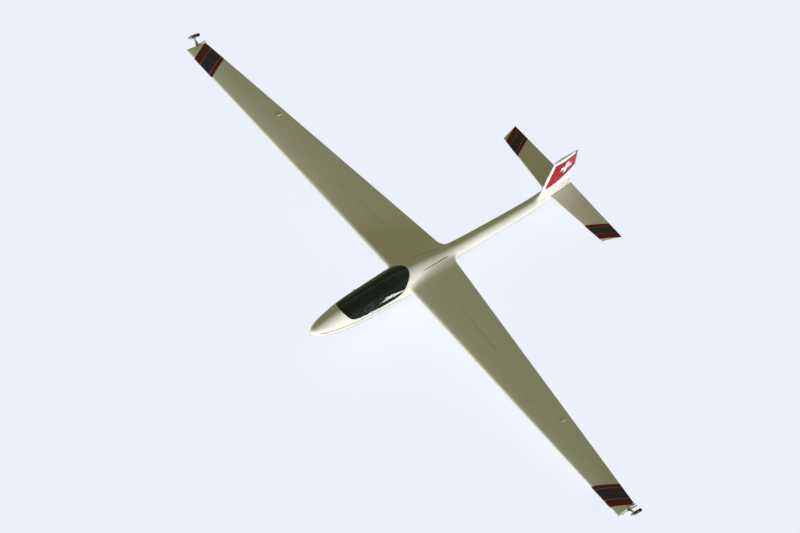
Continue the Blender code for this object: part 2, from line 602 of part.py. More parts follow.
tail_pivot = pivot("tail_wheel_axis", TAIL_AXLE, (1, 0, 0))
turned("tail_tyre", TAIL_AXLE, [(0.046, -0.019), (0.066, -0.023), (0.079, -0.017), (TAIL_RADIUS, -0.007), (TAIL_RADIUS, 0.007), (0.079, 0.017),
                                (0.066, 0.023), (0.046, 0.019)], TYRE, tail_pivot, 32)
turned("tail_rim", TAIL_AXLE, [(0.0085, -0.021), (0.020, -0.021), (0.024, -0.012), (0.038, -0.012), (0.0455, -0.019), (0.0455, 0.019),
                               (0.038, 0.012), (0.024, 0.012), (0.020, 0.021), (0.0085, 0.021)], ALUMINIUM, tail_pivot, 24)
cylinder("tail_axle", TAIL_AXLE - Vector((0.0297, 0, 0)), TAIL_AXLE + Vector((0.0297, 0, 0)), 0.0075, STEEL, sides=12)
tail_fork = prism("tail_wheel_fork", [(5.80, -0.10), (5.84, -0.21), (5.925, -0.305), (5.975, -0.305), (6.06, -0.21), (6.12, -0.10)], 0.040, GELCOAT)
fork_slot = box("cut_fork_slot", (-0.030, 5.7, -0.40), (0.030, 6.2, -0.1945), cutter=True)
boolean(tail_fork, "DIFFERENCE", fork_slot, whole_hull)

tow_hook = prism("tow_hook", [(1.62, -0.40), (1.63, -0.560), (1.66, -0.572), (1.70, -0.572), (1.72, -0.555), (1.74, -0.40)], 0.016, STEEL)
hook_gap = box("cut_hook_gap", (-0.006, 1.60, -0.60), (0.006, 1.705, -0.545), cutter=True)
boolean(tow_hook, "DIFFERENCE", whole_hull, hook_gap)

# ------------------------------------------------------------ cockpit
# the seat pan's line, (y, z, half width), from the knees to the shoulders
SEAT = ((1.300, -0.335, 0.165), (1.380, -0.385, 0.165), (1.600, -0.400, 0.165), (1.700, -0.375, 0.170), (1.800, -0.285, 0.185),
        (1.900, -0.175, 0.200), (2.010, -0.055, 0.205), (2.055, 0.000, 0.190))


def seat_strip(name, rows, low, high, inset, mat):
    """A strip along the seat's line between two heights above it."""
    rings = []
    for i, (y, z, half) in enumerate(rows):
        a, b = rows[max(i - 1, 0)], rows[min(i + 1, len(rows) - 1)]
        run = Vector((b[0] - a[0], b[1] - a[1])).normalized()
        ny, nz = -run[1], run[0]
        rings.append([Vector((s * (half - inset), y + ny * h, z + nz * h)) for s, h in ((-1, low), (1, low), (1, high), (-1, high))])
    return loft(name, rings, mat)


seat_strip("seat_pan", SEAT, -0.007, 0.007, 0.0, TRIM)
seat_strip("seat_cushion", SEAT[1:4], 0.0085, 0.050, 0.012, CLOTH)
seat_strip("backrest_cushion", SEAT[4:7], 0.0085, 0.050, 0.014, CLOTH)
box("headrest", (-0.085, 2.075, 0.015), (0.085, 2.125, 0.150), CLOTH, bevel=0.012)
box("headrest_post", (-0.020, 2.127, -0.002), (0.020, 2.152, 0.110), TRIM, bevel=0.003)

panel = prism("instrument_panel", [(0.900, -0.200), (1.010, -0.225), (1.045, 0.075), (1.020, 0.100), (0.900, 0.080)], 0.150, PANEL)
panel_edge = panel.modifiers.new("edges", "BEVEL")
panel_edge.width, panel_edge.segments = 0.008, 2
box("panel_pedestal", (-0.055, 0.905, -0.445), (0.055, 1.000, -0.2265), TRIM, bevel=0.006)

stick = cylinder("control_stick", (0, 1.175, -0.440), (0, 1.170, -0.250), 0.011, PANEL, sides=12)
grip = cylinder("join_grip", (0, 1.171, -0.270), (0, 1.160, -0.140), 0.018, cutter=True, sides=12)
boot = cylinder("join_boot", (0, 1.176, -0.462), (0, 1.175, -0.400), 0.050, cutter=True, sides=14, end_radius=0.014)
boolean(stick, "UNION", grip, boot)

pedals = box("rudder_pedals", (-0.105, 0.700, -0.300), (0.105, 0.716, -0.284), STEEL)
for side in (1, -1):
    plate = box("join_pedal_%d" % side, (side * 0.080 - 0.034, 0.690, -0.290), (side * 0.080 + 0.034, 0.702, -0.130), cutter=True)
    boolean(pedals, "UNION", plate)
pedal_base = box("join_pedal_base", (-0.02, 0.700, -0.402), (0.02, 0.716, -0.290), cutter=True)
boolean(pedals, "UNION", pedal_base)

lining = hull("cut_lining", 0.2, 2.7, -WALL - 2 * GAP, cutter=True)
for side, word in ((1, "left"), (-1, "right")):
    console = box("side_console_" + word, (min(side * 0.212, side * 0.300), 1.20, -0.235), (max(side * 0.212, side * 0.300), 1.92, -0.175), TRIM)
    boolean(console, "INTERSECT", lining)
lever = cylinder("airbrake_lever", (0.236, 1.42, -0.172), (0.228, 1.40, -0.090), 0.007, STEEL, sides=10)
knob = cylinder("join_lever_knob", (0.228, 1.36, -0.092), (0.228, 1.45, -0.086), 0.013, cutter=True, sides=12)
boolean(lever, "UNION", knob)

# ------------------------------------------------------------ set down
bpy.context.view_layer.update()


def points_of(*names):
    graph = bpy.context.evaluated_depsgraph_get()
    found = []
    for name in names:
        obj = bpy.data.objects[name]
        shape = obj.evaluated_get(graph)
        mesh = shape.to_mesh()
        found += [shape.matrix_world @ v.co for v in mesh.vertices]
        shape.to_mesh_clear()
    return found


feet = [points_of("main_tyre"), points_of("tail_tyre"), points_of("tip_skid_left")]
up = Vector((0, 0, 1))
for _ in range(12):
    a, b, c = (min(foot, key=lambda p: p.dot(up)) for foot in feet)
    up = (b - a).cross(c - a).normalized()
    if up.z < 0:
        up = -up
turn = up.rotation_difference(Vector((0, 0, 1))).to_matrix()
nose_way = turn @ Vector((0, -1, 0))
yaw = Matrix.Rotation(-math.pi / 2 - math.atan2(nose_way.y, nose_way.x), 3, "Z")
turn = yaw @ turn
stance.matrix_world = turn.to_4x4()
bpy.context.view_layer.update()
everything = points_of(*[o.name for o in PARTS.objects if o.type == "MESH"])
low = [min(p[i] for p in everything) for i in range(3)]
high = [max(p[i] for p in everything) for i in range(3)]
stance.matrix_world = Matrix.Translation((-(low[0] + high[0]) / 2, -(low[1] + high[1]) / 2, -low[2])) @ turn.to_4x4()
bpy.context.view_layer.update()
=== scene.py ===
"""The looks of an aerobatic sailplane, parked on its wheels and its left wing tip.

Everything is modelled in the aircraft's own frame: x to its left, y aft from
the nose tip, z up, with z = 0 at the leading edge of the wing's root. Each
finished piece is set down where the aircraft stands, and keeps those first
coordinates in an attribute, "craft", that its finish reads. Metres.
"""

import json
import math

import bmesh
import bpy
import numpy as np
from mathutils import Matrix, Vector


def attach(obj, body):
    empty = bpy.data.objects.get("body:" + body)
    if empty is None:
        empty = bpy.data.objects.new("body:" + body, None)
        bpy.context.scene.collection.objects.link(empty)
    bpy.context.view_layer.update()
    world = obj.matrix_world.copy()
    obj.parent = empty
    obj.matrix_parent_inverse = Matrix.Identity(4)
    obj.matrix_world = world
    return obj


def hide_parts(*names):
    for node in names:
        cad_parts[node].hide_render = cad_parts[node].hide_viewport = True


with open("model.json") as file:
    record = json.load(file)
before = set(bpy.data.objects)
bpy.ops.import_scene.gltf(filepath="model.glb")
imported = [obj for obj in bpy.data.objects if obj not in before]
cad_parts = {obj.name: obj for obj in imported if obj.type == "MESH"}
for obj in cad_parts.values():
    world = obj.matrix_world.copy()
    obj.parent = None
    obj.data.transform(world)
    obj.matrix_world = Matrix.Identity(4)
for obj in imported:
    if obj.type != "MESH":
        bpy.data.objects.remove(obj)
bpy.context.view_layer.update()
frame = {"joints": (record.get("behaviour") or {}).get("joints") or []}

JOINTS = {j["name"]: j for j in frame["joints"]}
SCENE = bpy.context.scene


# ------------------------------------------------------------ where the aircraft stands
def stance():
    """Aircraft frame to row frame, read from the two wheels' joints."""
    main, tail = Vector((0.0, 2.20, -0.615)), Vector((0.0, 5.95, -0.287))
    main_at, tail_at_ = Vector(JOINTS["main_wheel"]["pos_m"]), Vector(JOINTS["tail_wheel"]["pos_m"])

    def basis(across, run):
        across = across.normalized()
        run = (run - across * run.dot(across)).normalized()
        return Matrix((across, run, across.cross(run))).transposed()

    turn = basis(Vector(JOINTS["main_wheel"]["axis"]), tail_at_ - main_at) @ basis(Vector((1, 0, 0)), tail - main).transposed()
    return Matrix.Translation(main_at - turn @ main) @ turn.to_4x4()


STANCE = stance()
TURN = STANCE.to_3x3()

# ------------------------------------------------------------ camera
VIEW = Matrix(((0.64670059, 0.71317535, 0.27047968), (0.69677047, -0.40810548, -0.58988205), (-0.31030511, 0.56993932, -0.76084158)))
EYE = Vector((20.00929443, -34.67728396, 49.61116907))
camera = bpy.data.objects.new("camera", bpy.data.cameras.new("camera"))
SCENE.collection.objects.link(camera)
right, down, ahead = VIEW.row
camera.matrix_world = STANCE @ (Matrix.Translation(EYE) @ Matrix((right, -down, -ahead)).transposed().to_4x4())
camera.data.sensor_width = 36.0
camera.data.lens = 153.818
camera.data.clip_start, camera.data.clip_end = 1.0, 900.0
SCENE.camera = camera

# ------------------------------------------------------------ the airframe's driving sizes
HALF_SPAN = 6.335
WING_LE_Y, WING_LE_SLOPE = 2.271, -0.0268
WING_ROOT_CHORD, WING_TIP_CHORD = 1.317, 0.467
WING_DIHEDRAL, WING_THICKNESS = 0.032, 0.15
WING_RIB_X, WING_TIP_RAKE = 0.36, 0.037
TIP_X = HALF_SPAN - 0.030
AILERON_X0, AILERON_X1 = 2.63, 6.26
AILERON_CHORD_0, AILERON_CHORD_1 = 0.178, 0.150
BRAKE_X0, BRAKE_X1, BRAKE_AT, BRAKE_CAP, BRAKE_HEIGHT = 1.15, 2.25, 0.48, 0.034, 0.112
CLEAR = 0.007
TAIL_LE_Y, TAIL_LE_SLOPE, TAIL_TE_Y, TAIL_TE_SLOPE = 6.309, 0.117, 6.952, -0.019
TAIL_HALF, TAIL_RAKE, TAIL_Z, TAIL_THICKNESS = 1.480, 0.110, 0.061, 0.105
ELEVATOR_HINGE_Y, ELEVATOR_X0, ELEVATOR_X0_AFT = 6.700, 0.097, 0.043
FIN_LE_Y, FIN_TE_Y, FIN_TE_Z, FIN_TE_SLOPE = 6.047, 6.915, 0.40, -0.28
FIN_TOP_Z, FIN_TOP_RISE, FIN_THICKNESS = 1.150, 0.082, 0.115
RUDDER_BOTTOM_Z, RUDDER_HINGE_Y0, RUDDER_HINGE_SLOPE = 0.216, 6.575, -0.155
WALL, SPLIT_Y, CANOPY_GAP = 0.020, 3.780, 0.006
MAIN_AXLE, MAIN_RADIUS = Vector((0.0, 2.20, -0.615)), 0.180
TAIL_AXLE, TAIL_RADIUS = Vector((0.0, 5.95, -0.287)), 0.085
WELL_Y0, WELL_Y1, WELL_HALF, WELL_ROOF = 1.985, 2.415, 0.105, -0.365
SKID_X, SKID_RADIUS = 6.20, 0.120
CANISTER_OUT, CANISTER_UP, CANISTER_RADIUS, CANISTER_LENGTH = 0.142, 0.120, 0.032, 0.300
CANISTER_TILT = math.radians(9)
SIDES = ((1, "left"), (-1, "right"))


def curve_through(xs, ys):
    """A smooth curve through points, with the tangent of a parabola at each."""
    xs, ys = np.asarray(xs, float), np.asarray(ys, float)
    step = np.diff(xs)
    slope = np.diff(ys) / step
    tangent = np.empty_like(ys)
    tangent[1:-1] = (step[1:] * slope[:-1] + step[:-1] * slope[1:]) / (step[1:] + step[:-1])
    tangent[0], tangent[-1] = 2 * slope[0] - tangent[1], 2 * slope[-1] - tangent[-2]

    def at(x):
        x = np.clip(np.asarray(x, float), xs[0], xs[-1])
        i = np.clip(np.searchsorted(xs, x, side="right") - 1, 0, len(step) - 1)
        t = (x - xs[i]) / step[i]
        return ((2 * t**3 - 3 * t**2 + 1) * ys[i] + (t**3 - 2 * t**2 + t) * step[i] * tangent[i]
                + (3 * t**2 - 2 * t**3) * ys[i + 1] + (t**3 - t**2) * step[i] * tangent[i + 1])

    return at


def ease(t):
    t = np.clip(t, 0.0, 1.0)
    return t * t * (3 - 2 * t)


# ------------------------------------------------------------ finishes made from nodes
class Look:
    """A finish, built socket by socket. Colours are linear."""

    def __init__(self, name, roughness=0.4, metallic=0.0, **fixed):
        self.made = bpy.data.materials.new(name)
        self.made.use_nodes = True
        self.tree = self.made.node_tree
        self.shader = self.tree.nodes["Principled BSDF"]
        self.shader.inputs["Roughness"].default_value = roughness
        self.shader.inputs["Metallic"].default_value = metallic
        for key, value in fixed.items():
            self.shader.inputs[key.replace("_", " ")].default_value = value
        self.where = self.node("ShaderNodeAttribute", attribute_name="craft").outputs["Vector"]
        self.heights = None

    def put(self, socket, value):
        if isinstance(value, bpy.types.NodeSocket):
            self.tree.links.new(value, socket)
        elif isinstance(value, tuple) and socket.type == "RGBA":
            socket.default_value = (*value, 1.0)[:4]
        else:
            socket.default_value = value

    def node(self, kind, **props):
        made = self.tree.nodes.new(kind)
        for key, value in props.items():
            setattr(made, key, value)
        return made

    def calc(self, operation, a, b=None, c=None):
        made = self.node("ShaderNodeMath", operation=operation)
        for i, value in enumerate((a, b, c)):
            if value is not None:
                self.put(made.inputs[i], value)
        return made.outputs[0]

    def xyz(self):
        return self.node_out("ShaderNodeSeparateXYZ", self.where)

    def node_out(self, kind, source):
        made = self.node(kind)
        self.put(made.inputs[0], source)
        return [made.outputs[i] for i in range(3)]

    def noise(self, scale, detail=3.0, rough=0.55, stretch=None, distort=0.0):
        made = self.node("ShaderNodeTexNoise")
        where = self.where
        if stretch:
            shift = self.node("ShaderNodeMapping")
            self.put(shift.inputs["Vector"], where)
            shift.inputs["Scale"].default_value = stretch
            where = shift.outputs[0]
        self.put(made.inputs["Vector"], where)
        made.inputs["Scale"].default_value = scale
        made.inputs["Detail"].default_value = detail
        made.inputs["Roughness"].default_value = rough
        made.inputs["Distortion"].default_value = distort
        return made.outputs[0]

    def cells(self, scale, feature="F1", stretch=None):
        made = self.node("ShaderNodeTexVoronoi", feature=feature)
        where = self.where
        if stretch:
            shift = self.node("ShaderNodeMapping")
            self.put(shift.inputs["Vector"], where)
            shift.inputs["Scale"].default_value = stretch
            where = shift.outputs[0]
        self.put(made.inputs["Vector"], where)
        made.inputs["Scale"].default_value = scale
        return made.outputs[0]

    def span(self, value, low, high, to_low=0.0, to_high=1.0, smooth=False):
        made = self.node("ShaderNodeMapRange", interpolation_type="SMOOTHSTEP" if smooth else "LINEAR")
        for i, v in enumerate((value, low, high, to_low, to_high)):
            self.put(made.inputs[i], v)
        return made.outputs[0]

    def within(self, value, low, high):
        return self.calc("MULTIPLY", self.calc("GREATER_THAN", value, low), self.calc("LESS_THAN", value, high))

    def both(self, *masks):
        out = masks[0]
        for mask in masks[1:]:
            out = self.calc("MULTIPLY", out, mask)
        return out

    def either(self, a, b):
        return self.calc("MAXIMUM", a, b)

    def mix(self, share, a, b):
        made = self.node("ShaderNodeMix", data_type="RGBA")
        self.put(made.inputs[0], share)
        self.put(made.inputs[6], a)
        self.put(made.inputs[7], b)
        return made.outputs[2]

    def shade(self, colour, by):
        """A colour times a grey."""
        made = self.node("ShaderNodeMix", data_type="RGBA", blend_type="MULTIPLY")
        self.put(made.inputs[0], 1.0)
        self.put(made.inputs[6], colour)
        grey = self.node("ShaderNodeCombineColor")
        for i in range(3):
            self.put(grey.inputs[i], by)
        self.put(made.inputs[7], grey.outputs[0])
        return made.outputs[2]

    def bump(self, height, strength, distance):
        made = self.node("ShaderNodeBump")
        made.inputs["Strength"].default_value = strength
        made.inputs["Distance"].default_value = distance
        self.put(made.inputs["Height"], height)
        if self.heights is not None:
            self.put(made.inputs["Normal"], self.heights)
        self.heights = made.outputs[0]
        return self

    def done(self, colour=None, roughness=None):
        if colour is not None:
            self.put(self.shader.inputs["Base Color"], colour)
        if roughness is not None:
            self.put(self.shader.inputs["Roughness"], roughness)
        if self.heights is not None:
            self.put(self.shader.inputs["Normal"], self.heights)
        return self.made


CREAM = (0.722, 0.708, 0.610)
WHITE = (0.86, 0.86, 0.83)
DARK_RED = (0.130, 0.003, 0.005)
CHARCOAL = (0.034, 0.023, 0.046)
FIN_RED = (0.340, 0.003, 0.016)
HAIRLINE = (0.30, 0.18, 0.17)


def gelcoat(name, paint=None, base=CREAM, coat=0.35, shine=0.5):
    """Cream gelcoat, its tone wandering a little, with faint soiling along the airflow."""
    look = Look(name, 0.25, Coat_Weight=coat, Coat_Roughness=0.06, Specular_IOR_Level=shine)
    x, y, z = look.xyz()
    tone = look.span(look.noise(1.1, 4.0), 0.3, 0.7, 0.955, 1.02)
    streaks = look.noise(5.0, 5.0, 0.6, stretch=(3.0, 0.35, 3.0))
    colour = look.shade(base, tone)
    if paint:
        colour = paint(look, colour, x, y, z)
    soil = look.span(streaks, 0.56, 0.86, 0.0, 0.16)
    colour = look.mix(soil, colour, (0.30, 0.28, 0.20))
    rough = look.calc("ADD", look.span(look.noise(7.0, 4.0), 0.3, 0.7, 0.20, 0.30), look.calc("MULTIPLY", soil, 0.9))
    look.bump(look.noise(2.2, 1.0), 0.10, 0.02)
    look.bump(look.noise(160.0, 2.0), 0.05, 0.0008)
    return look.done(colour, rough)


def banded(x_in, slope, y_in, edges):
    """Slanted tip bands: dark red, charcoal and dark red, parted by pale hairlines."""
    outer, line_1, line_2, inner, hair = edges

    def paint(look, colour, x, y, z):
        q = look.calc("SUBTRACT", look.calc("ABSOLUTE", x), look.calc("MULTIPLY", look.calc("SUBTRACT", y, y_in), slope))
        colour = look.mix(look.within(q, inner - hair, outer + hair), colour, HAIRLINE)
        rub = look.span(look.noise(14.0, 4.0), 0.35, 0.7, 0.82, 1.12)
        colour = look.mix(look.within(q, inner, line_2 - hair / 2), colour, look.shade(DARK_RED, rub))
        colour = look.mix(look.within(q, line_2 + hair / 2, line_1 - hair / 2), colour, look.shade(CHARCOAL, rub))
        return look.mix(look.within(q, line_1 + hair / 2, outer), colour, look.shade(DARK_RED, rub))

    return paint


WING_BANDS = banded(0, 0.47, 2.12, (6.085, 5.922, 5.645, 5.565, 0.014))
TAIL_BANDS = banded(0, 0.44, 6.45, (1.385, 1.264, 1.085, 1.012, 0.008))


def pinstriped(look, colour, x, y, z):
    """A thin dark red line along both flanks, ahead of the wing and behind it, bare between, and a short one above the wing's root."""
    low = look.calc("SUBTRACT", -0.103, look.calc("MULTIPLY", look.calc("MINIMUM", y, 3.6), 0.012))
    low = look.calc("ADD", low, look.calc("MULTIPLY", look.calc("MAXIMUM", look.calc("SUBTRACT", y, 5.0), 0.0), 0.06))
    off = look.calc("ABSOLUTE", look.calc("SUBTRACT", z, low))
    run = look.either(look.within(y, 0.12, 2.12), look.either(look.within(y, 3.66, 4.30), look.within(y, 5.36, 5.95)))
    colour = look.mix(look.both(run, look.calc("LESS_THAN", off, 0.0080)), colour, (0.11, 0.012, 0.020))
    upper = look.calc("SUBTRACT", 0.199, look.calc("MULTIPLY", look.calc("SUBTRACT", y, 2.70), 0.150))
    off = look.calc("ABSOLUTE", look.calc("SUBTRACT", z, upper))
    return look.mix(look.both(look.within(y, 2.70, 3.42), look.calc("LESS_THAN", off, 0.0048)), colour, (0.06, 0.05, 0.05))


def flagged(look, colour, x, y, z):
    """The red field on the fin and rudder with a plain white upright cross, between a white leading edge, a white cap and a white foot."""
    t = look.calc("SUBTRACT", y, 6.05)
    foot = look.calc("ADD", 0.335, look.calc("ADD", look.calc("MULTIPLY", t, 0.22), look.calc("MULTIPLY", look.calc("MULTIPLY", t, t), 0.25)))
    cap = look.calc("ADD", 1.096, look.calc("MULTIPLY", t, 0.085))
    above = look.calc("GREATER_THAN", z, foot)
    below = look.calc("LESS_THAN", z, cap)
    aft = look.calc("GREATER_THAN", y, 6.092)
    colour = look.mix(look.span(z, 0.10, 0.30), colour, WHITE)
    fade = look.span(look.noise(6.0, 4.0), 0.3, 0.7, 0.88, 1.06)
    red = look.mix(look.span(y, 6.40, 6.75, 0.0, 0.70), look.shade(FIN_RED, fade), look.shade((0.42, 0.055, 0.130), fade))
    colour = look.mix(look.both(above, below, aft), colour, red)
    strip = look.calc("GREATER_THAN", z, look.calc("SUBTRACT", cap, look.span(y, 6.10, 6.75, 0.066, 0.018)))
    colour = look.mix(look.both(strip, below, aft), colour, CHARCOAL)
    # the rudder's top corner is grey
    colour = look.mix(look.both(look.calc("GREATER_THAN", z, look.calc("SUBTRACT", cap, 0.040)), look.calc("GREATER_THAN", y, 6.612)), colour, (0.17, 0.17, 0.18))
    across = look.calc("ABSOLUTE", look.calc("SUBTRACT", y, 6.487))
    upright = look.calc("ABSOLUTE", look.calc("SUBTRACT", z, 0.840))
    arms = look.either(look.both(look.calc("LESS_THAN", across, 0.158), look.calc("LESS_THAN", upright, 0.048)),
                       look.both(look.calc("LESS_THAN", across, 0.048), look.calc("LESS_THAN", upright, 0.158)))
    return look.mix(arms, colour, WHITE)


def plain_look(name, colour, low, high, scale, bump=0.0, wander=0.12, metallic=0.0, **fixed):
    """A solid finish whose tone, gloss and grain wander."""
    look = Look(name, low, metallic, **fixed)
    tone = look.span(look.noise(scale * 0.2, 4.0), 0.3, 0.7, 1 - wander, 1 + wander)
    if bump:
        look.bump(look.noise(scale, 3.0), bump, 0.6 / scale)
    return look.done(look.shade(colour, tone), look.span(look.noise(scale * 0.5, 4.0), 0.3, 0.7, low, high))


def brushed(name, colour, low, high, stretch, **fixed):
    look = Look(name, low, 1.0, **fixed)
    lines = look.noise(40.0, 5.0, 0.7, stretch=stretch)
    smears = look.span(look.noise(9.0, 4.0), 0.35, 0.7, 0.80, 1.05)
    look.bump(lines, 0.08, 0.0008)
    return look.done(look.shade(colour, smears), look.span(lines, 0.3, 0.7, low, high))


def rubber(name, dust=0.25):
    look = Look(name, 0.8)
    grime = look.span(look.noise(30.0, 6.0, 0.65), 0.45, 0.75, 0.0, dust)
    look.bump(look.noise(420.0, 3.0), 0.25, 0.0010)
    return look.done(look.mix(grime, (0.022, 0.021, 0.020), (0.16, 0.15, 0.12)), look.span(grime, 0.0, dust, 0.62, 0.95))


def woven(name, warp, weft, pitch=0.0022):
    """A plain weave: two sets of threads crossing, each shaded and raised in turn."""
    look = Look(name, 0.85, Sheen_Weight=0.35, Sheen_Roughness=0.45)
    x, y, z = look.xyz()
    run = look.calc("ADD", y, look.calc("MULTIPLY", z, 1.0))
    a = look.calc("SINE", look.calc("MULTIPLY", x, 2 * math.pi / pitch))
    b = look.calc("SINE", look.calc("MULTIPLY", run, 2 * math.pi / pitch))
    over = look.calc("MULTIPLY", a, b)
    share = look.span(over, -0.4, 0.4)
    fuzz = look.noise(120.0, 4.0)
    colour = look.shade(look.mix(share, warp, weft), look.span(fuzz, 0.25, 0.75, 0.78, 1.18))
    look.bump(look.calc("ADD", over, look.calc("MULTIPLY", fuzz, 0.8)), 0.35, 0.0006)
    return look.done(colour, look.span(fuzz, 0.3, 0.7, 0.78, 0.95))


def speckled(name, ground, fleck, other, scale=260.0):
    look = Look(name, 0.55)
    dots = look.cells(scale)
    spots = look.cells(scale * 0.7)
    colour = look.mix(look.calc("LESS_THAN", dots, 0.22), ground, fleck)
    colour = look.mix(look.calc("LESS_THAN", spots, 0.16), colour, other)
    look.bump(dots, 0.15, 0.0008)
    return look.done(look.shade(colour, look.span(look.noise(3.0, 4.0), 0.3, 0.7, 0.9, 1.06)), look.span(look.noise(8.0, 3.0), 0.3, 0.7, 0.48, 0.66))


GELCOAT = gelcoat("gelcoat_cream")
GELCOAT_HULL = gelcoat("gelcoat_fuselage", pinstriped)
GELCOAT_WING = gelcoat("gelcoat_wing", WING_BANDS, coat=0.20, shine=0.35)
GELCOAT_TAIL = gelcoat("gelcoat_tailplane", TAIL_BANDS, coat=0.20, shine=0.35)
PAINT_FIN = gelcoat("fin_paint", flagged, coat=0.05, shine=0.25)
COCKPIT = speckled("cockpit_speckle", (0.30, 0.30, 0.30), (0.10, 0.10, 0.11), (0.55, 0.55, 0.54))
WELL_GREY = plain_look("wheel_well_grey", (0.36, 0.36, 0.34), 0.45, 0.65, 40.0, 0.15, 0.10)
BLACK = plain_look("black_plastic", (0.020, 0.020, 0.022), 0.42, 0.62, 300.0, 0.25, 0.15)
SATIN_BLACK = plain_look("canopy_frame_black", (0.012, 0.012, 0.013), 0.30, 0.50, 120.0, 0.10, 0.15)
RUBBER = rubber("tyre_rubber")
SEAL = rubber("seal_rubber", 0.10)
NYLON = plain_look("skid_nylon", (0.055, 0.055, 0.055), 0.45, 0.75, 90.0, 0.35, 0.35)
STEEL = brushed("steel_brushed", (0.52, 0.52, 0.53), 0.25, 0.45, (1.0, 1.0, 8.0))
ALLOY = brushed("alloy_cast", (0.70, 0.70, 0.71), 0.30, 0.50, (1.0, 1.0, 1.0))
BLADE = brushed("airbrake_alloy", (0.66, 0.66, 0.67), 0.28, 0.48, (0.4, 6.0, 6.0))
SEAT_CLOTH = woven("seat_cloth", (0.030, 0.042, 0.070), (0.016, 0.022, 0.040))
PIPING = woven("seat_piping", (0.012, 0.013, 0.016), (0.020, 0.022, 0.026), 0.0015)
WEBBING = woven("harness_webbing", (0.035, 0.040, 0.085), (0.022, 0.026, 0.060), 0.0016)
LEATHER = plain_look("stick_boot_leather", (0.030, 0.024, 0.020), 0.45, 0.70, 220.0, 0.45, 0.20)
GRIP = plain_look("grip_rubber", (0.018, 0.018, 0.018), 0.55, 0.75, 400.0, 0.40, 0.10)
DIAL = plain_look("dial_black", (0.010, 0.010, 0.011), 0.45, 0.60, 200.0, 0.05, 0.10)
MARKS = plain_look("dial_marks", (0.75, 0.75, 0.70), 0.50, 0.60, 60.0, 0.0, 0.05)
RED_KNOB = plain_look("knob_red", (0.50, 0.020, 0.015), 0.25, 0.40, 60.0, 0.05, 0.08)
BLUE_KNOB = plain_look("knob_blue", (0.020, 0.060, 0.300), 0.25, 0.40, 60.0, 0.05, 0.08)
GREEN_KNOB = plain_look("knob_green", (0.020, 0.200, 0.060), 0.25, 0.40, 60.0, 0.05, 0.08)
YELLOW_KNOB = plain_look("knob_yellow", (0.600, 0.420, 0.020), 0.25, 0.40, 60.0, 0.05, 0.08)
CANISTER = plain_look("canister_card", (0.060, 0.010, 0.012), 0.50, 0.75, 80.0, 0.20, 0.25)
CANISTER_END = plain_look("canister_scorched", (0.020, 0.016, 0.014), 0.70, 0.95, 60.0, 0.40, 0.35)
BAR_DARK = plain_look("bar_dark", (0.030, 0.030, 0.034), 0.35, 0.55, 60.0, 0.15, 0.15)
NOSE_GREY = plain_look("canister_nose", (0.36, 0.36, 0.34), 0.35, 0.55, 60.0, 0.10, 0.15)
TAPE = plain_look("gap_tape", (0.742, 0.728, 0.630), 0.16, 0.26, 18.0, 0.03, 0.03, Coat_Weight=0.35, Coat_Roughness=0.06)


def glass(name, tint):
    """Tinted acrylic: what is behind shows through darkened, and the surface shines by its angle."""
    made = bpy.data.materials.new(name)
    made.use_nodes = True
    tree = made.node_tree
    tree.nodes.clear()
    out = tree.nodes.new("ShaderNodeOutputMaterial")
    both = tree.nodes.new("ShaderNodeMixShader")
    clear = tree.nodes.new("ShaderNodeBsdfTransparent")
    shine = tree.nodes.new("ShaderNodeBsdfGlossy")
    angle = tree.nodes.new("ShaderNodeFresnel")
    noise = tree.nodes.new("ShaderNodeTexNoise")
    span = tree.nodes.new("ShaderNodeMapRange")
    where = tree.nodes.new("ShaderNodeTexCoord")
    noise.inputs["Scale"].default_value = 6.0
    noise.inputs["Detail"].default_value = 5.0
    tree.links.new(where.outputs["Object"], noise.inputs["Vector"])
    tree.links.new(noise.outputs[0], span.inputs[0])
    for i, v in enumerate((0.35, 0.75, 0.015, 0.07)):
        span.inputs[i + 1].default_value = v
    tree.links.new(span.outputs[0], shine.inputs["Roughness"])
    shine.inputs["Color"].default_value = (0.95, 1.0, 1.0, 1.0)
    clear.inputs["Color"].default_value = (*tint, 1.0)
    angle.inputs["IOR"].default_value = 1.50
    tree.links.new(angle.outputs[0], both.inputs[0])
    tree.links.new(clear.outputs[0], both.inputs[1])
    tree.links.new(shine.outputs[0], both.inputs[2])
    tree.links.new(both.outputs[0], out.inputs["Surface"])
    return made


ACRYLIC = glass("tinted_acrylic", (0.39, 0.54, 0.64))
DIAL_GLASS = glass("dial_glass", (0.92, 0.94, 0.94))


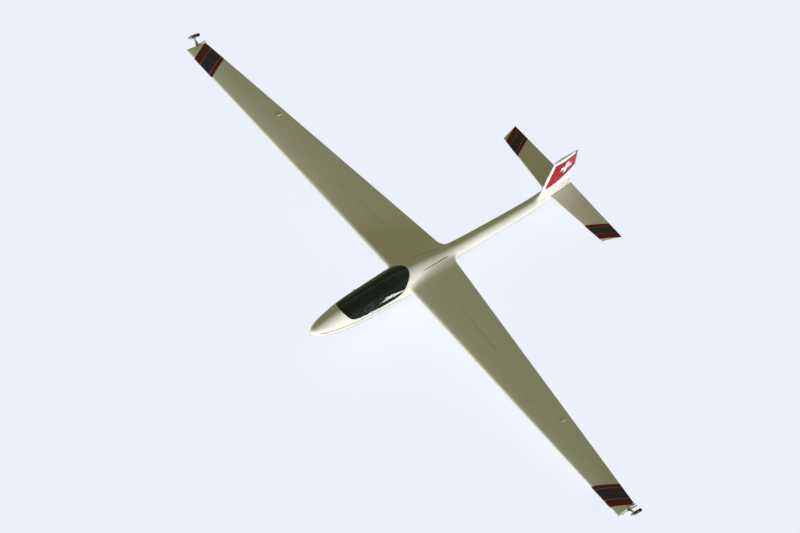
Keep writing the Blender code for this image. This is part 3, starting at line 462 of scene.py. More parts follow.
# ------------------------------------------------------------ building meshes
class Shape:
    """Collects points and faces, then becomes a piece."""

    def __init__(self):
        self.points, self.faces, self.slots = [], [], []

    def add(self, points):
        start = len(self.points)
        self.points += [tuple(float(c) for c in p) for p in points]
        return list(range(start, len(self.points)))

    def face(self, ids, slot=0):
        self.faces.append(tuple(ids))
        self.slots.append(slot)

    def skin(self, rows, closed=True, slot=0):
        """Quads between rows of point numbers."""
        for low, high in zip(rows, rows[1:]):
            n = len(low)
            for i in range(n if closed else n - 1):
                j = (i + 1) % n
                self.face((low[i], low[j], high[j], high[i]), slot)

    def loft(self, rings, slot=0, caps=True):
        rows = [self.add(r) for r in rings]
        self.skin(rows, True, slot)
        if caps:
            self.face(rows[0], slot)
            self.face(rows[-1][::-1], slot)
        return rows

    def turned(self, profile, at, axis, steps=48, slot=0, closed=False, start=0.0):
        """A profile of (radius, distance along axis) points turned about an axis. An open profile begins and ends on the axis, or is capped."""
        at, axis = Vector(at), Vector(axis).normalized()
        side = axis.orthogonal().normalized()
        other = axis.cross(side)
        rows = []
        for r, a in profile:
            if r < 1e-6:
                rows.append(self.add([at + axis * a]))
            else:
                rows.append(self.add([at + axis * a + (side * math.cos(t) + other * math.sin(t)) * r
                                      for t in (start + 2 * math.pi * i / steps for i in range(steps))]))
        pairs = list(zip(rows, rows[1:])) + ([(rows[-1], rows[0])] if closed else [])
        for low, high in pairs:
            for i in range(steps):
                j = (i + 1) % steps
                if len(low) == 1:
                    self.face((low[0], high[j], high[i]), slot)
                elif len(high) == 1:
                    self.face((low[i], low[j], high[0]), slot)
                else:
                    self.face((low[i], low[j], high[j], high[i]), slot)
        if not closed:
            for row in (rows[0], rows[-1]):
                if len(row) > 1:
                    self.face(row, slot)

    def tube(self, path, radius, sides=12, slot=0, flat=1.0, up=None):
        """A round or flattened bar along a path. radius may be one number or one for each point."""
        path = [Vector(p) for p in path]
        radii = [radius] * len(path) if isinstance(radius, (int, float)) else list(radius)
        turn = None
        rings = []
        for i, p in enumerate(path):
            run = (path[min(i + 1, len(path) - 1)] - path[max(i - 1, 0)]).normalized()
            if turn is None:
                turn = (Vector(up) if up else run.orthogonal())
            turn = (turn - run * turn.dot(run)).normalized()
            across = run.cross(turn)
            rings.append([p + (across * math.cos(t) + turn * math.sin(t) * flat) * radii[i]
                          for t in (2 * math.pi * k / sides for k in range(sides))])
        self.loft(rings, slot)

    def ribbon(self, path, faces, width, thick, slot=0):
        """A flat strap along a path, lying with its face along each point's normal."""
        rings = []
        path = [Vector(p) for p in path]
        for i, (p, up) in enumerate(zip(path, faces)):
            run = (path[min(i + 1, len(path) - 1)] - path[max(i - 1, 0)]).normalized()
            up = (Vector(up) - run * Vector(up).dot(run)).normalized()
            across = run.cross(up)
            w, h = width / 2, thick / 2
            rings.append([p + across * a + up * b for a, b in
                          ((-w, -h * 0.5), (-w + h, -h), (w - h, -h), (w, -h * 0.5), (w, h * 0.5), (w - h, h), (-w + h, h), (-w, h * 0.5))])
        self.loft(rings, slot)

    def mesh(self, bm, slot=0):
        bm.verts.ensure_lookup_table()
        ids = self.add([v.co for v in bm.verts])
        for f in bm.faces:
            self.face([ids[v.index] for v in f.verts], slot)
        bm.free()

    def block(self, low, high, soften=0.002, slot=0, turn=None, segments=2):
        """A box with rounded edges; turn is a matrix applied about its middle."""
        low, high = Vector(low), Vector(high)
        bm = bmesh.new()
        bmesh.ops.create_cube(bm, size=1.0)
        size = high - low
        for v in bm.verts:
            v.co = Vector(v.co[i] * size[i] for i in range(3))
        if soften:
            bmesh.ops.bevel(bm, geom=bm.edges[:], offset=min(soften, 0.45 * min(size)), segments=segments, profile=0.5, affect="EDGES")
        bm.verts.index_update()
        where = Matrix.Translation((low + high) / 2) @ (turn.to_4x4() if turn else Matrix.Identity(4))
        bm.transform(where)
        self.mesh(bm, slot)

    def bolt(self, at, axis, radius, high, slot=0, sides=6):
        self.turned([(0, high), (radius * 0.82, high), (radius, high * 0.8), (radius, 0), (radius * 1.35, 0), (radius * 1.35, -high * 0.25), (0, -high * 0.25)],
                    at, axis, sides * 2 if sides > 6 else sides, slot)

    def become(self, name, looks, crease=35.0):
        mesh = bpy.data.meshes.new(name)
        mesh.from_pydata(self.points, [], self.faces)
        mesh.polygons.foreach_set("material_index", self.slots)
        bm = bmesh.new()
        bm.from_mesh(mesh)
        bmesh.ops.remove_doubles(bm, verts=bm.verts, dist=1e-6)
        bmesh.ops.dissolve_degenerate(bm, edges=bm.edges, dist=1e-7)
        bmesh.ops.recalc_face_normals(bm, faces=bm.faces)
        bm.to_mesh(mesh)
        bm.free()
        finish_mesh(mesh, crease)
        for look in looks if isinstance(looks, (list, tuple)) else [looks]:
            mesh.materials.append(look)
        obj = bpy.data.objects.new(name, mesh)
        SCENE.collection.objects.link(obj)
        return obj


def finish_mesh(mesh, crease):
    mesh.shade_smooth()
    mesh.set_sharp_from_angle(angle=math.radians(crease))


def carve(obj, *steps, crease=35.0):
    """Applies Booleans: (operation, shape object). Each tool's own finish comes along on the faces that it cuts."""
    for operation, tool in steps:
        step = obj.modifiers.new(operation, "BOOLEAN")
        step.operation, step.object, step.solver = operation, tool, "EXACT"
        step.material_mode = "TRANSFER"
    graph = bpy.context.evaluated_depsgraph_get()
    made = bpy.data.meshes.new_from_object(obj.evaluated_get(graph))
    old = obj.data
    obj.modifiers.clear()
    obj.data = made
    bpy.data.meshes.remove(old)
    for _, tool in steps:
        bpy.data.objects.remove(tool)
    finish_mesh(obj.data, crease)
    return obj


def settle(obj, body, stands_for=()):
    """Sets a piece down where the aircraft stands, rides it on its body, and has it stand for its CAD nodes."""
    mesh = obj.data
    spots = np.empty(3 * len(mesh.vertices), np.float32)
    mesh.vertices.foreach_get("co", spots)
    mesh.attributes.new("craft", "FLOAT_VECTOR", "POINT").data.foreach_set("vector", spots)
    mesh.transform(STANCE)
    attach(obj, body)
    if stands_for:
        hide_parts(*([stands_for] if isinstance(stands_for, str) else stands_for))
    return obj


def tool(name, rings, look=GELCOAT):
    shape = Shape()
    shape.loft(rings)
    return shape.become(name, look)


# ------------------------------------------------------------ wing sections
def foil_height(share, thickness):
    s = np.maximum(share, 0.0)
    return 5 * thickness * (0.2969 * np.sqrt(s) - 0.1260 * s - 0.3516 * s**2 + 0.2843 * s**3 - 0.1036 * s**4) + 0.0018 * s


def foil(chord, thickness, count=44):
    shares = [(1 - math.cos(math.pi * i / (count - 1))) / 2 for i in range(count)]
    upper = [(s * chord, float(foil_height(s, thickness)) * chord) for s in shares]
    return upper[::-1] + [(c, -h) for c, h in upper[1:]]


def flap(chord, thickness, hinge, arc=18, aft=14):
    radius = float(foil_height(hinge / chord, thickness)) * chord - 0.0004
    nose = [(hinge - radius * math.sin(math.pi * i / (arc + 1)), -radius * math.cos(math.pi * i / (arc + 1))) for i in range(arc + 2)]
    upper = []
    for i in range(1, aft + 1):
        c = hinge + (chord - hinge) * i / aft
        upper.append((c, float(foil_height(c / chord, thickness)) * chord))
    return nose + upper + [(c, -h) for c, h in upper[::-1]]


def cove(chord, thickness, hinge, arc=18):
    radius = float(foil_height(hinge / chord, thickness)) * chord + CLEAR
    nose = [(hinge - radius * math.sin(math.pi * i / (arc + 1)), -radius * math.cos(math.pi * i / (arc + 1))) for i in range(arc + 2)]
    return nose + [(hinge, 0.4), (chord + 0.4, 0.4), (chord + 0.4, -0.4), (hinge, -0.4)]


def wing_at(x):
    return WING_LE_Y + WING_LE_SLOPE * x, WING_ROOT_CHORD + (WING_TIP_CHORD - WING_ROOT_CHORD) * x / HALF_SPAN, WING_DIHEDRAL * x


def wing_ring(x, outline, side, rake=0.0, squeeze=1.0):
    y, chord, z = wing_at(x)
    return [Vector((side * (x - rake * c / chord), y + c, z + squeeze * h)) for c, h in outline]


def aileron_hinge(x):
    share = (x - AILERON_X0) / (AILERON_X1 - AILERON_X0)
    return wing_at(x)[1] - (AILERON_CHORD_0 + (AILERON_CHORD_1 - AILERON_CHORD_0) * share)


def tail_at(x):
    y = TAIL_LE_Y + TAIL_LE_SLOPE * x
    return y, TAIL_TE_Y + TAIL_TE_SLOPE * x - y, TAIL_Z


def tail_ring(x, outline, side, rake=0.0, squeeze=1.0):
    y, chord, z = tail_at(x)
    return [Vector((side * (x + rake * c / chord), y + c, z + squeeze * h)) for c, h in outline]


def elevator_hinge(x):
    return ELEVATOR_HINGE_Y - tail_at(x)[0]


def fin_at(z):
    """(leading edge y, chord) of the fin and rudder; the trailing edge turns forward above FIN_TE_Z, by a short bend."""
    over = max(z - FIN_TE_Z + 0.04, 0.0)
    return FIN_LE_Y, FIN_TE_Y + FIN_TE_SLOPE * (over * over / 0.16 if over < 0.08 else over - 0.04) - FIN_LE_Y


def fin_ring(z, outline, rise=0.0, squeeze=1.0):
    y, chord = fin_at(z + rise)
    return [Vector((squeeze * h, y + c, z + rise * c / chord)) for c, h in outline]


def rudder_hinge(z, rise=0.0):
    level = RUDDER_HINGE_Y0 + RUDDER_HINGE_SLOPE * (z - RUDDER_BOTTOM_Z) - FIN_LE_Y
    return level / (1 - RUDDER_HINGE_SLOPE * rise / fin_at(z + rise)[1])


def skin_point(x, c, side, lift=0.0, under=False):
    """A point on the wing's upper or under side, lifted off it."""
    y, chord, z = wing_at(x)
    h = float(foil_height(c / chord, WING_THICKNESS)) * chord + lift
    return Vector((side * x, y + c, z + (-h if under else h)))


# ------------------------------------------------------------ fuselage surface
# station y, centre z, half width, height above centre, depth below centre
STATIONS = np.array((
    (0.000, -0.120, 0.000, 0.000, 0.000),
    (0.030, -0.122, 0.062, 0.058, 0.058),
    (0.110, -0.129, 0.110, 0.106, 0.106),
    (0.260, -0.137, 0.165, 0.170, 0.167),
    (0.500, -0.140, 0.214, 0.248, 0.242),
    (0.740, -0.139, 0.249, 0.308, 0.305),
    (1.000, -0.140, 0.274, 0.352, 0.355),
    (1.400, -0.140, 0.290, 0.396, 0.395),
    (1.800, -0.128, 0.303, 0.420, 0.400),
    (2.200, -0.105, 0.315, 0.415, 0.400),
    (2.600, -0.090, 0.296, 0.375, 0.365),
    (3.000, -0.085, 0.248, 0.300, 0.300),
    (3.400, -0.083, 0.198, 0.225, 0.230),
    (3.780, -0.082, 0.164, 0.175, 0.180),
    (4.200, -0.084, 0.150, 0.153, 0.160),
    (4.700, -0.087, 0.143, 0.144, 0.148),
    (5.250, -0.092, 0.138, 0.138, 0.142),
    (5.700, -0.075, 0.130, 0.131, 0.135),
    (6.000, -0.052, 0.124, 0.132, 0.128),
    (6.200, -0.020, 0.122, 0.150, 0.126),
    (6.450, 0.012, 0.110, 0.165, 0.122),
    (6.700, 0.035, 0.084, 0.162, 0.110),
    (6.885, 0.050, 0.046, 0.148, 0.088),
))
ROUND_TOP, ROUND_BOTTOM = 2.0, 2.3
HULL = [curve_through(np.sqrt(STATIONS[:, 0]), STATIONS[:, k]) for k in range(1, 5)]


_at = np.linspace(0.0, math.sqrt(6.885), 6000)
_table = [f(_at) for f in HULL]
_pitch = float(_at[1])
_table = [list(map(float, t)) for t in _table]


def station(y):
    """Centre height, half width, height above and depth below of the fuselage's section at y."""
    p = min(max(y, 0.0), 6.885) ** 0.5 / _pitch
    i = min(int(p), 5998)
    p -= i
    return [t[i] + (t[i + 1] - t[i]) * p for t in _table]


def hull_x(y, z, grow=0.0):
    """Half the fuselage's width at a height, or 0 above and below it."""
    centre, wide, up, deep = station(y)
    power, high = (ROUND_TOP, up + grow) if z >= centre else (ROUND_BOTTOM, deep + grow)
    share = abs(z - centre) / max(high, 1e-6)
    return (wide + grow) * (1 - share**power) ** (1 / power) if share < 1 else 0.0


def hull_point(y, t, grow=0.0):
    centre, wide, up, deep = station(y)
    c, s = math.cos(t), math.sin(t)
    power, high = (ROUND_TOP, up + grow) if s >= 0 else (ROUND_BOTTOM, deep + grow)
    return Vector(((wide + grow) * math.copysign(abs(c) ** (2 / power), c), y, centre + high * math.copysign(abs(s) ** (2 / power), s)))


def hull_angle(y, z, grow=0.0):
    """The angle round the section whose point lies at a height."""
    centre, wide, up, deep = station(y)
    power, high = (ROUND_TOP, up + grow) if z >= centre else (ROUND_BOTTOM, deep + grow)
    share = min(abs(z - centre) / high, 1.0)
    return math.copysign(math.asin(min(share ** (power / 2), 1.0)), z - centre)


def hull_rings(ys, grow=0.0, points=88):
    return [[hull_point(y, 2 * math.pi * i / points, grow) for i in range(points)] for y in ys]


EDGE = np.array((
    (0.560, 0.260), (0.645, 0.160), (0.690, 0.118), (0.765, 0.042), (0.860, -0.012),
    (1.100, -0.042), (1.420, -0.052), (1.720, -0.042), (1.900, -0.018), (2.020, 0.014), (2.130, 0.088),
    (2.230, 0.195), (2.330, 0.275), (2.390, 0.325), (2.440, 0.400),
))
_run = np.concatenate([[0], np.cumsum(np.hypot(*np.diff(EDGE, axis=0).T))])
_edge_y, _edge_z = curve_through(_run, EDGE[:, 0]), curve_through(_run, EDGE[:, 1])


def edge_path(by=0.0, count=400):
    """The canopy's edge seen from the side, moved up into it by a distance."""
    t = np.linspace(0, _run[-1], count)
    path = np.stack([_edge_y(t), _edge_z(t)], 1)
    run = np.gradient(path, axis=0)
    run /= np.linalg.norm(run, axis=1)[:, None]
    return path + by * np.stack([-run[:, 1], run[:, 0]], 1)


def edge_loop(by=0.0, grow=0.0, count=70, drop=0.0):
    """The left half of the canopy's edge on the fuselage, from the middle in front to the middle behind."""
    path = edge_path(by, 1600)
    path[:, 1] -= drop
    wide = np.array([hull_x(y, z, grow) for y, z in path])
    on = np.where(wide > 0)[0]
    points = np.stack([wide[on], path[on, 0], path[on, 1]], 1)
    first, last = points[0].copy(), points[-1].copy()
    first[0] = last[0] = 0.0
    points = np.concatenate([[first], points, [last]])
    along = np.concatenate([[0], np.cumsum(np.linalg.norm(np.diff(points, axis=0), axis=1))])
    want = np.linspace(0, along[-1], count)
    return np.stack([np.interp(want, along, points[:, k]) for k in range(3)], 1)


def all_round(half):
    """A left half and its mirror image as one closed loop."""
    return [Vector(p) for p in half] + [Vector((-p[0], p[1], p[2])) for p in half[-2:0:-1]]


# ------------------------------------------------------------ fuselage pieces
ys = np.concatenate([np.linspace(0.03, 0.56, 14) ** 2, np.arange(0.345, SPLIT_Y - 0.02, 0.036), [SPLIT_Y]])
shape = Shape()
shape.loft(hull_rings(ys))
fuselage = shape.become("fuselage_skin", GELCOAT_HULL)
cavity = tool("tool_cockpit", hull_rings(np.arange(0.26, 2.70, 0.036), -WALL), COCKPIT)
room = [(0.33, -0.9), (0.33, 0.9), (2.47, 0.9), (2.47, 0.02), (2.17, -0.01), (2.14, -0.05), (1.86, -0.40), (1.82, -0.9)]
room_tool = tool("tool_room", [[Vector((x, y, z)) for y, z in room] for x in (-0.5, 0.5)], COCKPIT)
carve(cavity, ("INTERSECT", room_tool))
path = edge_path(0.0, 90)
outline = [tuple(p) for p in path] + [(path[-1][0], 0.9), (path[0][0], 0.9)]
opening = tool("tool_opening", [[Vector((x, y, z)) for y, z in outline] for x in (-0.34, 0.34)], GELCOAT_HULL)
shape = Shape()
shape.block((-WELL_HALF, WELL_Y0, -0.8), (WELL_HALF, WELL_Y1, WELL_ROOF), 0.018, segments=3)
well = shape.become("tool_well", WELL_GREY)
carve(fuselage, ("DIFFERENCE", cavity), ("DIFFERENCE", opening), ("DIFFERENCE", well), crease=30.0)
settle(fuselage, "airframe", "fuselage_shell")

shape = Shape()
ys = list(np.arange(SPLIT_Y, 6.84, 0.05)) + [6.870]
rings = hull_rings(ys)
for inset, y in ((0.000, 6.885), (0.006, 6.8905), (0.016, 6.8930)):
    rings.append([Vector((p.x * (1 - inset / 0.046), y, 0.065 + (p.z - 0.065) * (1 - inset / 0.11))) for p in hull_rings([6.885])[0]])
shape.loft(rings)
boom = shape.become("tail_boom_skin", GELCOAT_HULL)
settle(boom, "airframe", "tail_boom")


def fairing(name, base, push, reach, rib, surface, axis, look, inner, steps=14):
    """A root fairing that leaves a rib squarely and lies down tangent to the fuselage.

    base holds the rib's outline as two coordinates, push the outward direction
    at each point, reach how far out it runs, and surface(a, b) the fuselage's
    coordinate along axis under a point of the other two."""
    def spot(a, b, c):
        return {"x": Vector((c, a, b)), "-x": Vector((-c, a, b)), "z": Vector((a, b, c))}[axis]

    shape = Shape()
    rings = []
    for k in range(steps + 1):
        turn = math.pi / 2 * k / steps
        ring = []
        for (a, b), (u, v), r in zip(base, push, reach):
            out = r * (1 - math.cos(turn))
            deep = rib - surface(a, b)
            if k == 0:
                ring.append(spot(a, b, rib))
            else:
                ring.append(spot(a + u * out, b + v * out, surface(a + u * out, b + v * out) + deep * (1 - math.sin(turn)) + 0.0002 * (1 - math.sin(turn))))
        rings.append(ring)
    ends = [(a + u * r, b + v * r) for (a, b), (u, v), r in zip(base, push, reach)]
    rings.append([spot(a, b, surface(a, b) - 0.006) for a, b in ends])
    rings.append([spot(a, b, inner) for a, b in ends])
    shape.loft(rings)
    return shape.become(name, look, 30.0)


def outward(points, passes=3):
    """Unit outward directions round a closed outline that runs anticlockwise or clockwise."""
    pts = np.array(points)
    run = np.roll(pts, -1, 0) - np.roll(pts, 1, 0)
    normal = np.stack([run[:, 1], -run[:, 0]], 1)
    area = np.sum(pts[:, 0] * np.roll(pts[:, 1], -1) - np.roll(pts[:, 0], -1) * pts[:, 1])
    normal *= math.copysign(1, area)
    normal /= np.linalg.norm(normal, axis=1)[:, None] + 1e-12
    for _ in range(passes):
        normal = np.roll(normal, 1, 0) + 2 * normal + np.roll(normal, -1, 0)
        normal /= np.linalg.norm(normal, axis=1)[:, None]
    return normal


for side, word in SIDES:
    y0, chord, z0 = wing_at(WING_RIB_X)
    rim = foil(chord, WING_THICKNESS, 52)
    base = [(y0 + c, z0 + h) for c, h in rim]
    push = outward(base, 1)
    share = np.array([c / chord for c, h in rim])
    reach = 0.052 + 0.018 * ease(share / 0.5) - 0.015 * ease((share - 0.60) / 0.40)
    # a fan of points turns the corner behind the trailing edge
    half_te = rim[0][1]
    fan = [math.pi / 2 * (1 - 2 * (i + 0.5) / 18) for i in range(18)]
    base = [(y0 + chord, z0 - half_te + 2 * half_te * (i + 0.5) / 18) for i in range(18)] + base[:]
    push = [(math.cos(f), -math.sin(f)) for f in fan] + [tuple(p) for p in push]
    reach = [1 / math.hypot(math.cos(f) / 0.155, math.sin(f) / 0.055) for f in fan] + list(reach)
    # the outline runs upper trailing edge, nose, lower trailing edge, so the fan goes from below to above
    made = fairing("wing_root_fairing_" + word, base, push, reach, WING_RIB_X, hull_x, "x" if side > 0 else "-x", GELCOAT_HULL, 0.02)
    settle(made, "airframe", ())
    shape = Shape()
    rings = []
    for x, lift in ((WING_RIB_X - 0.019, -0.0004), (WING_RIB_X - 0.018, 0.0005), (WING_RIB_X + 0.018, 0.0005), (WING_RIB_X + 0.019, -0.0004)):
        y, chord, z = wing_at(max(x, WING_RIB_X))
        grown = foil(chord, WING_THICKNESS, 44)
        out = outward(grown, 1)
        rings.append([Vector((side * x, y + c + lift * n[0], z + h + lift * n[1])) for (c, h), n in zip(grown, out)])
    shape.loft(rings)
    settle(shape.become("wing_root_tape_" + word, TAPE), "airframe")

# ------------------------------------------------------------ wings
for side, word in SIDES:
    inner_x = [WING_RIB_X + 0.0003] + list(np.linspace(0.6, 5.2, 20)) + [5.38]
    outer_x = [5.38, 5.5, 5.65, 5.8, 5.95, 6.1, 6.2, TIP_X - 0.020]
    shape = Shape()
    shape.loft([wing_ring(x, foil(wing_at(x)[1], WING_THICKNESS), side) for x in inner_x])
    inner_wing = shape.become("wing_panel_" + word, GELCOAT_WING)
    rings = [wing_ring(x, foil(wing_at(x)[1], WING_THICKNESS), side) for x in outer_x]
    for i in range(1, 8):
        t = i / 7 * math.pi / 2
        x = TIP_X - 0.020 + 0.044 * math.sin(t)
        rings.append(wing_ring(x, foil(wing_at(x)[1], WING_THICKNESS), side, WING_TIP_RAKE * min(1.0, math.sin(t) * 1.15), 0.45 + 0.55 * math.cos(t)))
    shape = Shape()
    shape.loft(rings)
    outer_wing = shape.become("wing_tip_" + word, GELCOAT_WING)

    def bay(first, last):
        return tool("tool_bay", [wing_ring(x, cove(wing_at(x)[1], WING_THICKNESS, aileron_hinge(x)), side) for x in (first, last)], GELCOAT)

    tops = [skin_point(x, BRAKE_AT * wing_at(x)[1], side) for x in (BRAKE_X0, BRAKE_X1)]
    along = (tops[1] - tops[0]).normalized()
    lift = (Vector((0, 0, 1)) - along * along.z).normalized()
    across = along.cross(lift)
    half = BRAKE_CAP / 2

    def strip(start, end, outline, count=2):
        return [[start.lerp(end, k / (count - 1)) + across * a + lift * h for a, h in outline] for k in range(count)]

    slot_tool = tool("tool_slot", strip(tops[0] - along * 0.006, tops[1] + along * 0.006, [
        (-half - 0.006, 0.1), (-half - 0.006, -0.0155), (-0.0125, -0.0155), (-0.0125, -BRAKE_HEIGHT - 0.006),
        (0.0125, -BRAKE_HEIGHT - 0.006), (0.0125, -0.0155), (half + 0.006, -0.0155), (half + 0.006, 0.1)]), GELCOAT)
    carve(inner_wing, ("DIFFERENCE", bay(AILERON_X0 - 0.006, 5.6)), ("DIFFERENCE", slot_tool), crease=30.0)
    carve(outer_wing, ("DIFFERENCE", bay(5.2, AILERON_X1 + 0.006)), crease=30.0)
    settle(inner_wing, "airframe", "wing_" + word)
    settle(outer_wing, "airframe", "wing_" + word)

    # aileron, its seals and its drive fairing
    shape = Shape()
    xs = np.linspace(AILERON_X0, AILERON_X1, 20)
    rings = [wing_ring(x, flap(wing_at(x)[1], WING_THICKNESS, aileron_hinge(x)), side) for x in xs]
    shape.loft(rings)
    settle(shape.become("aileron_skin_" + word, GELCOAT_WING, 30.0), "aileron_" + word, "aileron_" + word)
    shape = Shape()
    for under in (False, True):
        rings = []
        for x in np.linspace(AILERON_X0 - 0.002, AILERON_X1 + 0.002, 24):
            hinge = aileron_hinge(x)
            radius = float(foil_height(hinge / wing_at(x)[1], WING_THICKNESS)) * wing_at(x)[1]
            front = hinge - math.sqrt(max((radius + CLEAR) ** 2 - radius**2, 0)) - 0.016
            cs = np.linspace(front, hinge - 0.0015, 6)
            top = [skin_point(x, c, side, 0.0007, under) for c in cs]
            low = [skin_point(x, c, side, 0.0001, under) for c in cs[::-1]]
            rings.append(top + low)
        shape.loft(rings)
    settle(shape.become("aileron_seals_" + word, GELCOAT_WING), "airframe")
    shape = Shape()
    x_mid = 4.175
    hinge = aileron_hinge(x_mid)
    for start, stop, wide, high in ((hinge - 0.105, hinge - 0.004, 0.0125, 0.0125),):
        rings = []
        for k in range(15):
            t = k / 14
            c = start + (stop - start) * t
            swell = math.sin(math.pi * min(t * 0.62 + 0.02, 1.0)) ** 0.8
            ring = []
            for i in range(13):
                a = math.pi * i / 12
                p = skin_point(x_mid + wide * swell * math.cos(a), c, side, -0.002)
                ring.append(p + Vector((0, 0, (high * swell + 0.002) * math.sin(a))))
            rings.append(ring)
        shape.loft(rings)
    settle(shape.become("aileron_drive_fairing_" + word, GELCOAT), "airframe")
    shape = Shape()
    rings = []
    for k in range(10):
        t = k / 9
        c = hinge + 0.012 + 0.042 * t
        swell = math.cos(math.pi / 2 * t) ** 0.6 * 0.9 + 0.05
        ring = []
        for i in range(13):
            a = math.pi * i / 12
            p = skin_point(x_mid + 0.0115 * swell * math.cos(a), c, side, -0.002)
            ring.append(p + Vector((0, 0, (0.0085 * swell + 0.002) * math.sin(a))))
        rings.append(ring)
    shape.loft(rings)
    settle(shape.become("aileron_horn_cover_" + word, GELCOAT_WING), "aileron_" + word)

    # airbrake: cap strip that closes the slot, and a perforated blade under it
    shape = Shape()
    cap_line = [(-half, -0.0010), (-half, -0.0058), (-half + 0.0015, -0.0068), (half - 0.0015, -0.0068), (half, -0.0058), (half, -0.0010), (half - 0.0008, -0.0004), (-half + 0.0008, -0.0004)]
    shape.loft(strip(tops[0], tops[1], cap_line, 12))
    settle(shape.become("airbrake_cap_" + word, GELCOAT), "airbrake_" + word, "airbrake_" + word)
    shape = Shape()
    shape.loft(strip(tops[0] + along * 0.004, tops[1] - along * 0.004, [(-0.0017, -0.0070), (-0.0017, -BRAKE_HEIGHT + 0.001), (-0.006, -BRAKE_HEIGHT + 0.001), (-0.006, -BRAKE_HEIGHT),
                                                                       (0.0017, -BRAKE_HEIGHT), (0.0017, -0.0070)], 2))
    blade = shape.become("airbrake_blade_" + word, BLADE)
    shape = Shape()
    holes = 13
    for i in range(holes):
        mid = tops[0].lerp(tops[1], (i + 0.5) / holes) + lift * (-0.058)
        ring = []
        for k in range(20):
            a = 2 * math.pi * k / 20
            ring.append(along * (0.018 * math.copysign(1, math.cos(a)) + 0.015 * math.cos(a)) + lift * 0.015 * math.sin(a))
        shape.loft([[mid + across * o + p for p in ring] for o in (-0.03, 0.03)])
    carve(blade, ("DIFFERENCE", shape.become("tool_holes", BLADE)))
    settle(blade, "airbrake_" + word)

    # tip skid: a scuffed nylon disc let into the under side, with its screws
    y, chord, z = wing_at(SKID_X)
    mid = Vector((side * SKID_X, y + 0.50 * chord - 0.03, z))
    shape = Shape()
    rings = []
    for out, shrink in ((-0.011, 0.006), (-0.0085, 0.0015), (-0.005, 0.0), (0.005, 0.0), (0.0085, 0.0015), (0.011, 0.006)):
        r = SKID_RADIUS - shrink
        rings.append([mid + Vector((out, r * math.cos(t), r * math.sin(t))) for t in (math.pi * (1 + i / 40) for i in range(41))])
    shape.loft(rings)
    skid = shape.become("wing_tip_skid_" + word, NYLON)
    skin_tool = tool("tool_skin", [wing_ring(x, foil(wing_at(x)[1], WING_THICKNESS), side) for x in (5.9, TIP_X - 0.02)], NYLON)
    carve(skid, ("DIFFERENCE", skin_tool))
    settle(skid, "airframe", "tip_skid_" + word)
    shape = Shape()
    for dy in (-0.055, 0.0, 0.055):
        for out in (-1, 1):
            shape.bolt(mid + Vector((out * 0.0108, dy, -0.062)), (out, 0, 0), 0.0050, 0.0026)
    settle(shape.become("tip_skid_screws_" + word, STEEL), "airframe")

    # smoke canister and its mount
    y, chord, z = wing_at(HALF_SPAN)
    rib = HALF_SPAN - 0.006 + 0.0003

    def tip_point(share, out, high):
        return Vector((side * (rib - WING_TIP_RAKE * share + out), y + share * chord, z + high))

    shape = Shape()
    plate = []
    for out, inset in ((0.0002, 0.0), (0.0072, 0.0), (0.0088, 0.0016)):
        ring = []
        for k in range(10):
            a = math.pi / 2 + math.pi * k / 9
            ring.append(tip_point(0.16, out, 0) + Vector((0, (0.0065 - inset) * (math.cos(a)) + 0.0065, (0.0062 - inset) * math.sin(a))))
        for k in range(10):
            a = -math.pi / 2 + math.pi * k / 9
            ring.append(tip_point(1.08, out, 0) + Vector((0, (0.0065 - inset) * (math.cos(a)) - 0.0065, (0.0062 - inset) * math.sin(a))))
        plate.append(ring)
    shape.loft(plate)
    # a slim bar that leaves the rib and ends clear of the trailing edge's corner
    bar = []
    for share, out, high, wide in ((0.503, 0.0122, 0.0014, 0.0060), (0.510, 0.0125, 0.0027, 0.0092), (0.62, 0.0191, 0.0029, 0.0097), (0.84, 0.0322, 0.0029, 0.0097),
                                   (1.02, 0.0430, 0.0028, 0.0096), (1.060, 0.0454, 0.0024, 0.0086), (1.069, 0.0459, 0.0012, 0.0055)):
        bar.append([tip_point(share, out + wide * math.copysign(abs(math.cos(a)) ** 0.6, math.cos(a)), high * math.copysign(abs(math.sin(a)) ** 0.6, math.sin(a)))
                    for a in (2 * math.pi * k / 24 for k in range(24))])
    shape.loft(bar, 1)
    for share in (0.56, 0.60):
        shape.bolt(tip_point(share, 0.0175 + (share - 0.56) * 0.060, 0.0028), (0, 0, 1), 0.0036, 0.0022)

    # the canister's axis, the way to it from the rib, and the way across both
    centre = Vector((side * (rib + CANISTER_OUT), y + 0.575 * chord, z + CANISTER_UP))
    axis = Vector((0, math.cos(CANISTER_TILT), -math.sin(CANISTER_TILT)))
    lean = Vector((side * CANISTER_OUT, 0, CANISTER_UP))
    lean = (lean - axis * lean.dot(axis)).normalized()
    across = axis.cross(lean) * -side

    def under(along, away, sideways):
        return centre + axis * along - lean * away + across * sideways

    r = CANISTER_RADIUS
    base, head = Vector((side * (rib - 0.014), y + 0.60 * chord, z)), under(0, r + 0.0036, 0)
    arm = []
    for k in range(15):
        t = k / 14
        wide = 0.050 + (0.017 - 0.050) * (1 - (1 - t) ** 1.8)
        thick = 0.0034 - 0.0008 * t
        run = Vector((0, 1, 0)).lerp(axis, t).normalized()
        mid = base.lerp(head, t) + across * 0.006 * math.sin(math.pi * t)
        arm.append([mid + run * wide * math.copysign(abs(math.cos(a)) ** 0.5, math.cos(a)) + across * thick * math.copysign(abs(math.sin(a)) ** 0.6, math.sin(a))
                    for a in (2 * math.pi * i / 24 for i in range(24))])
    shape.loft(arm)
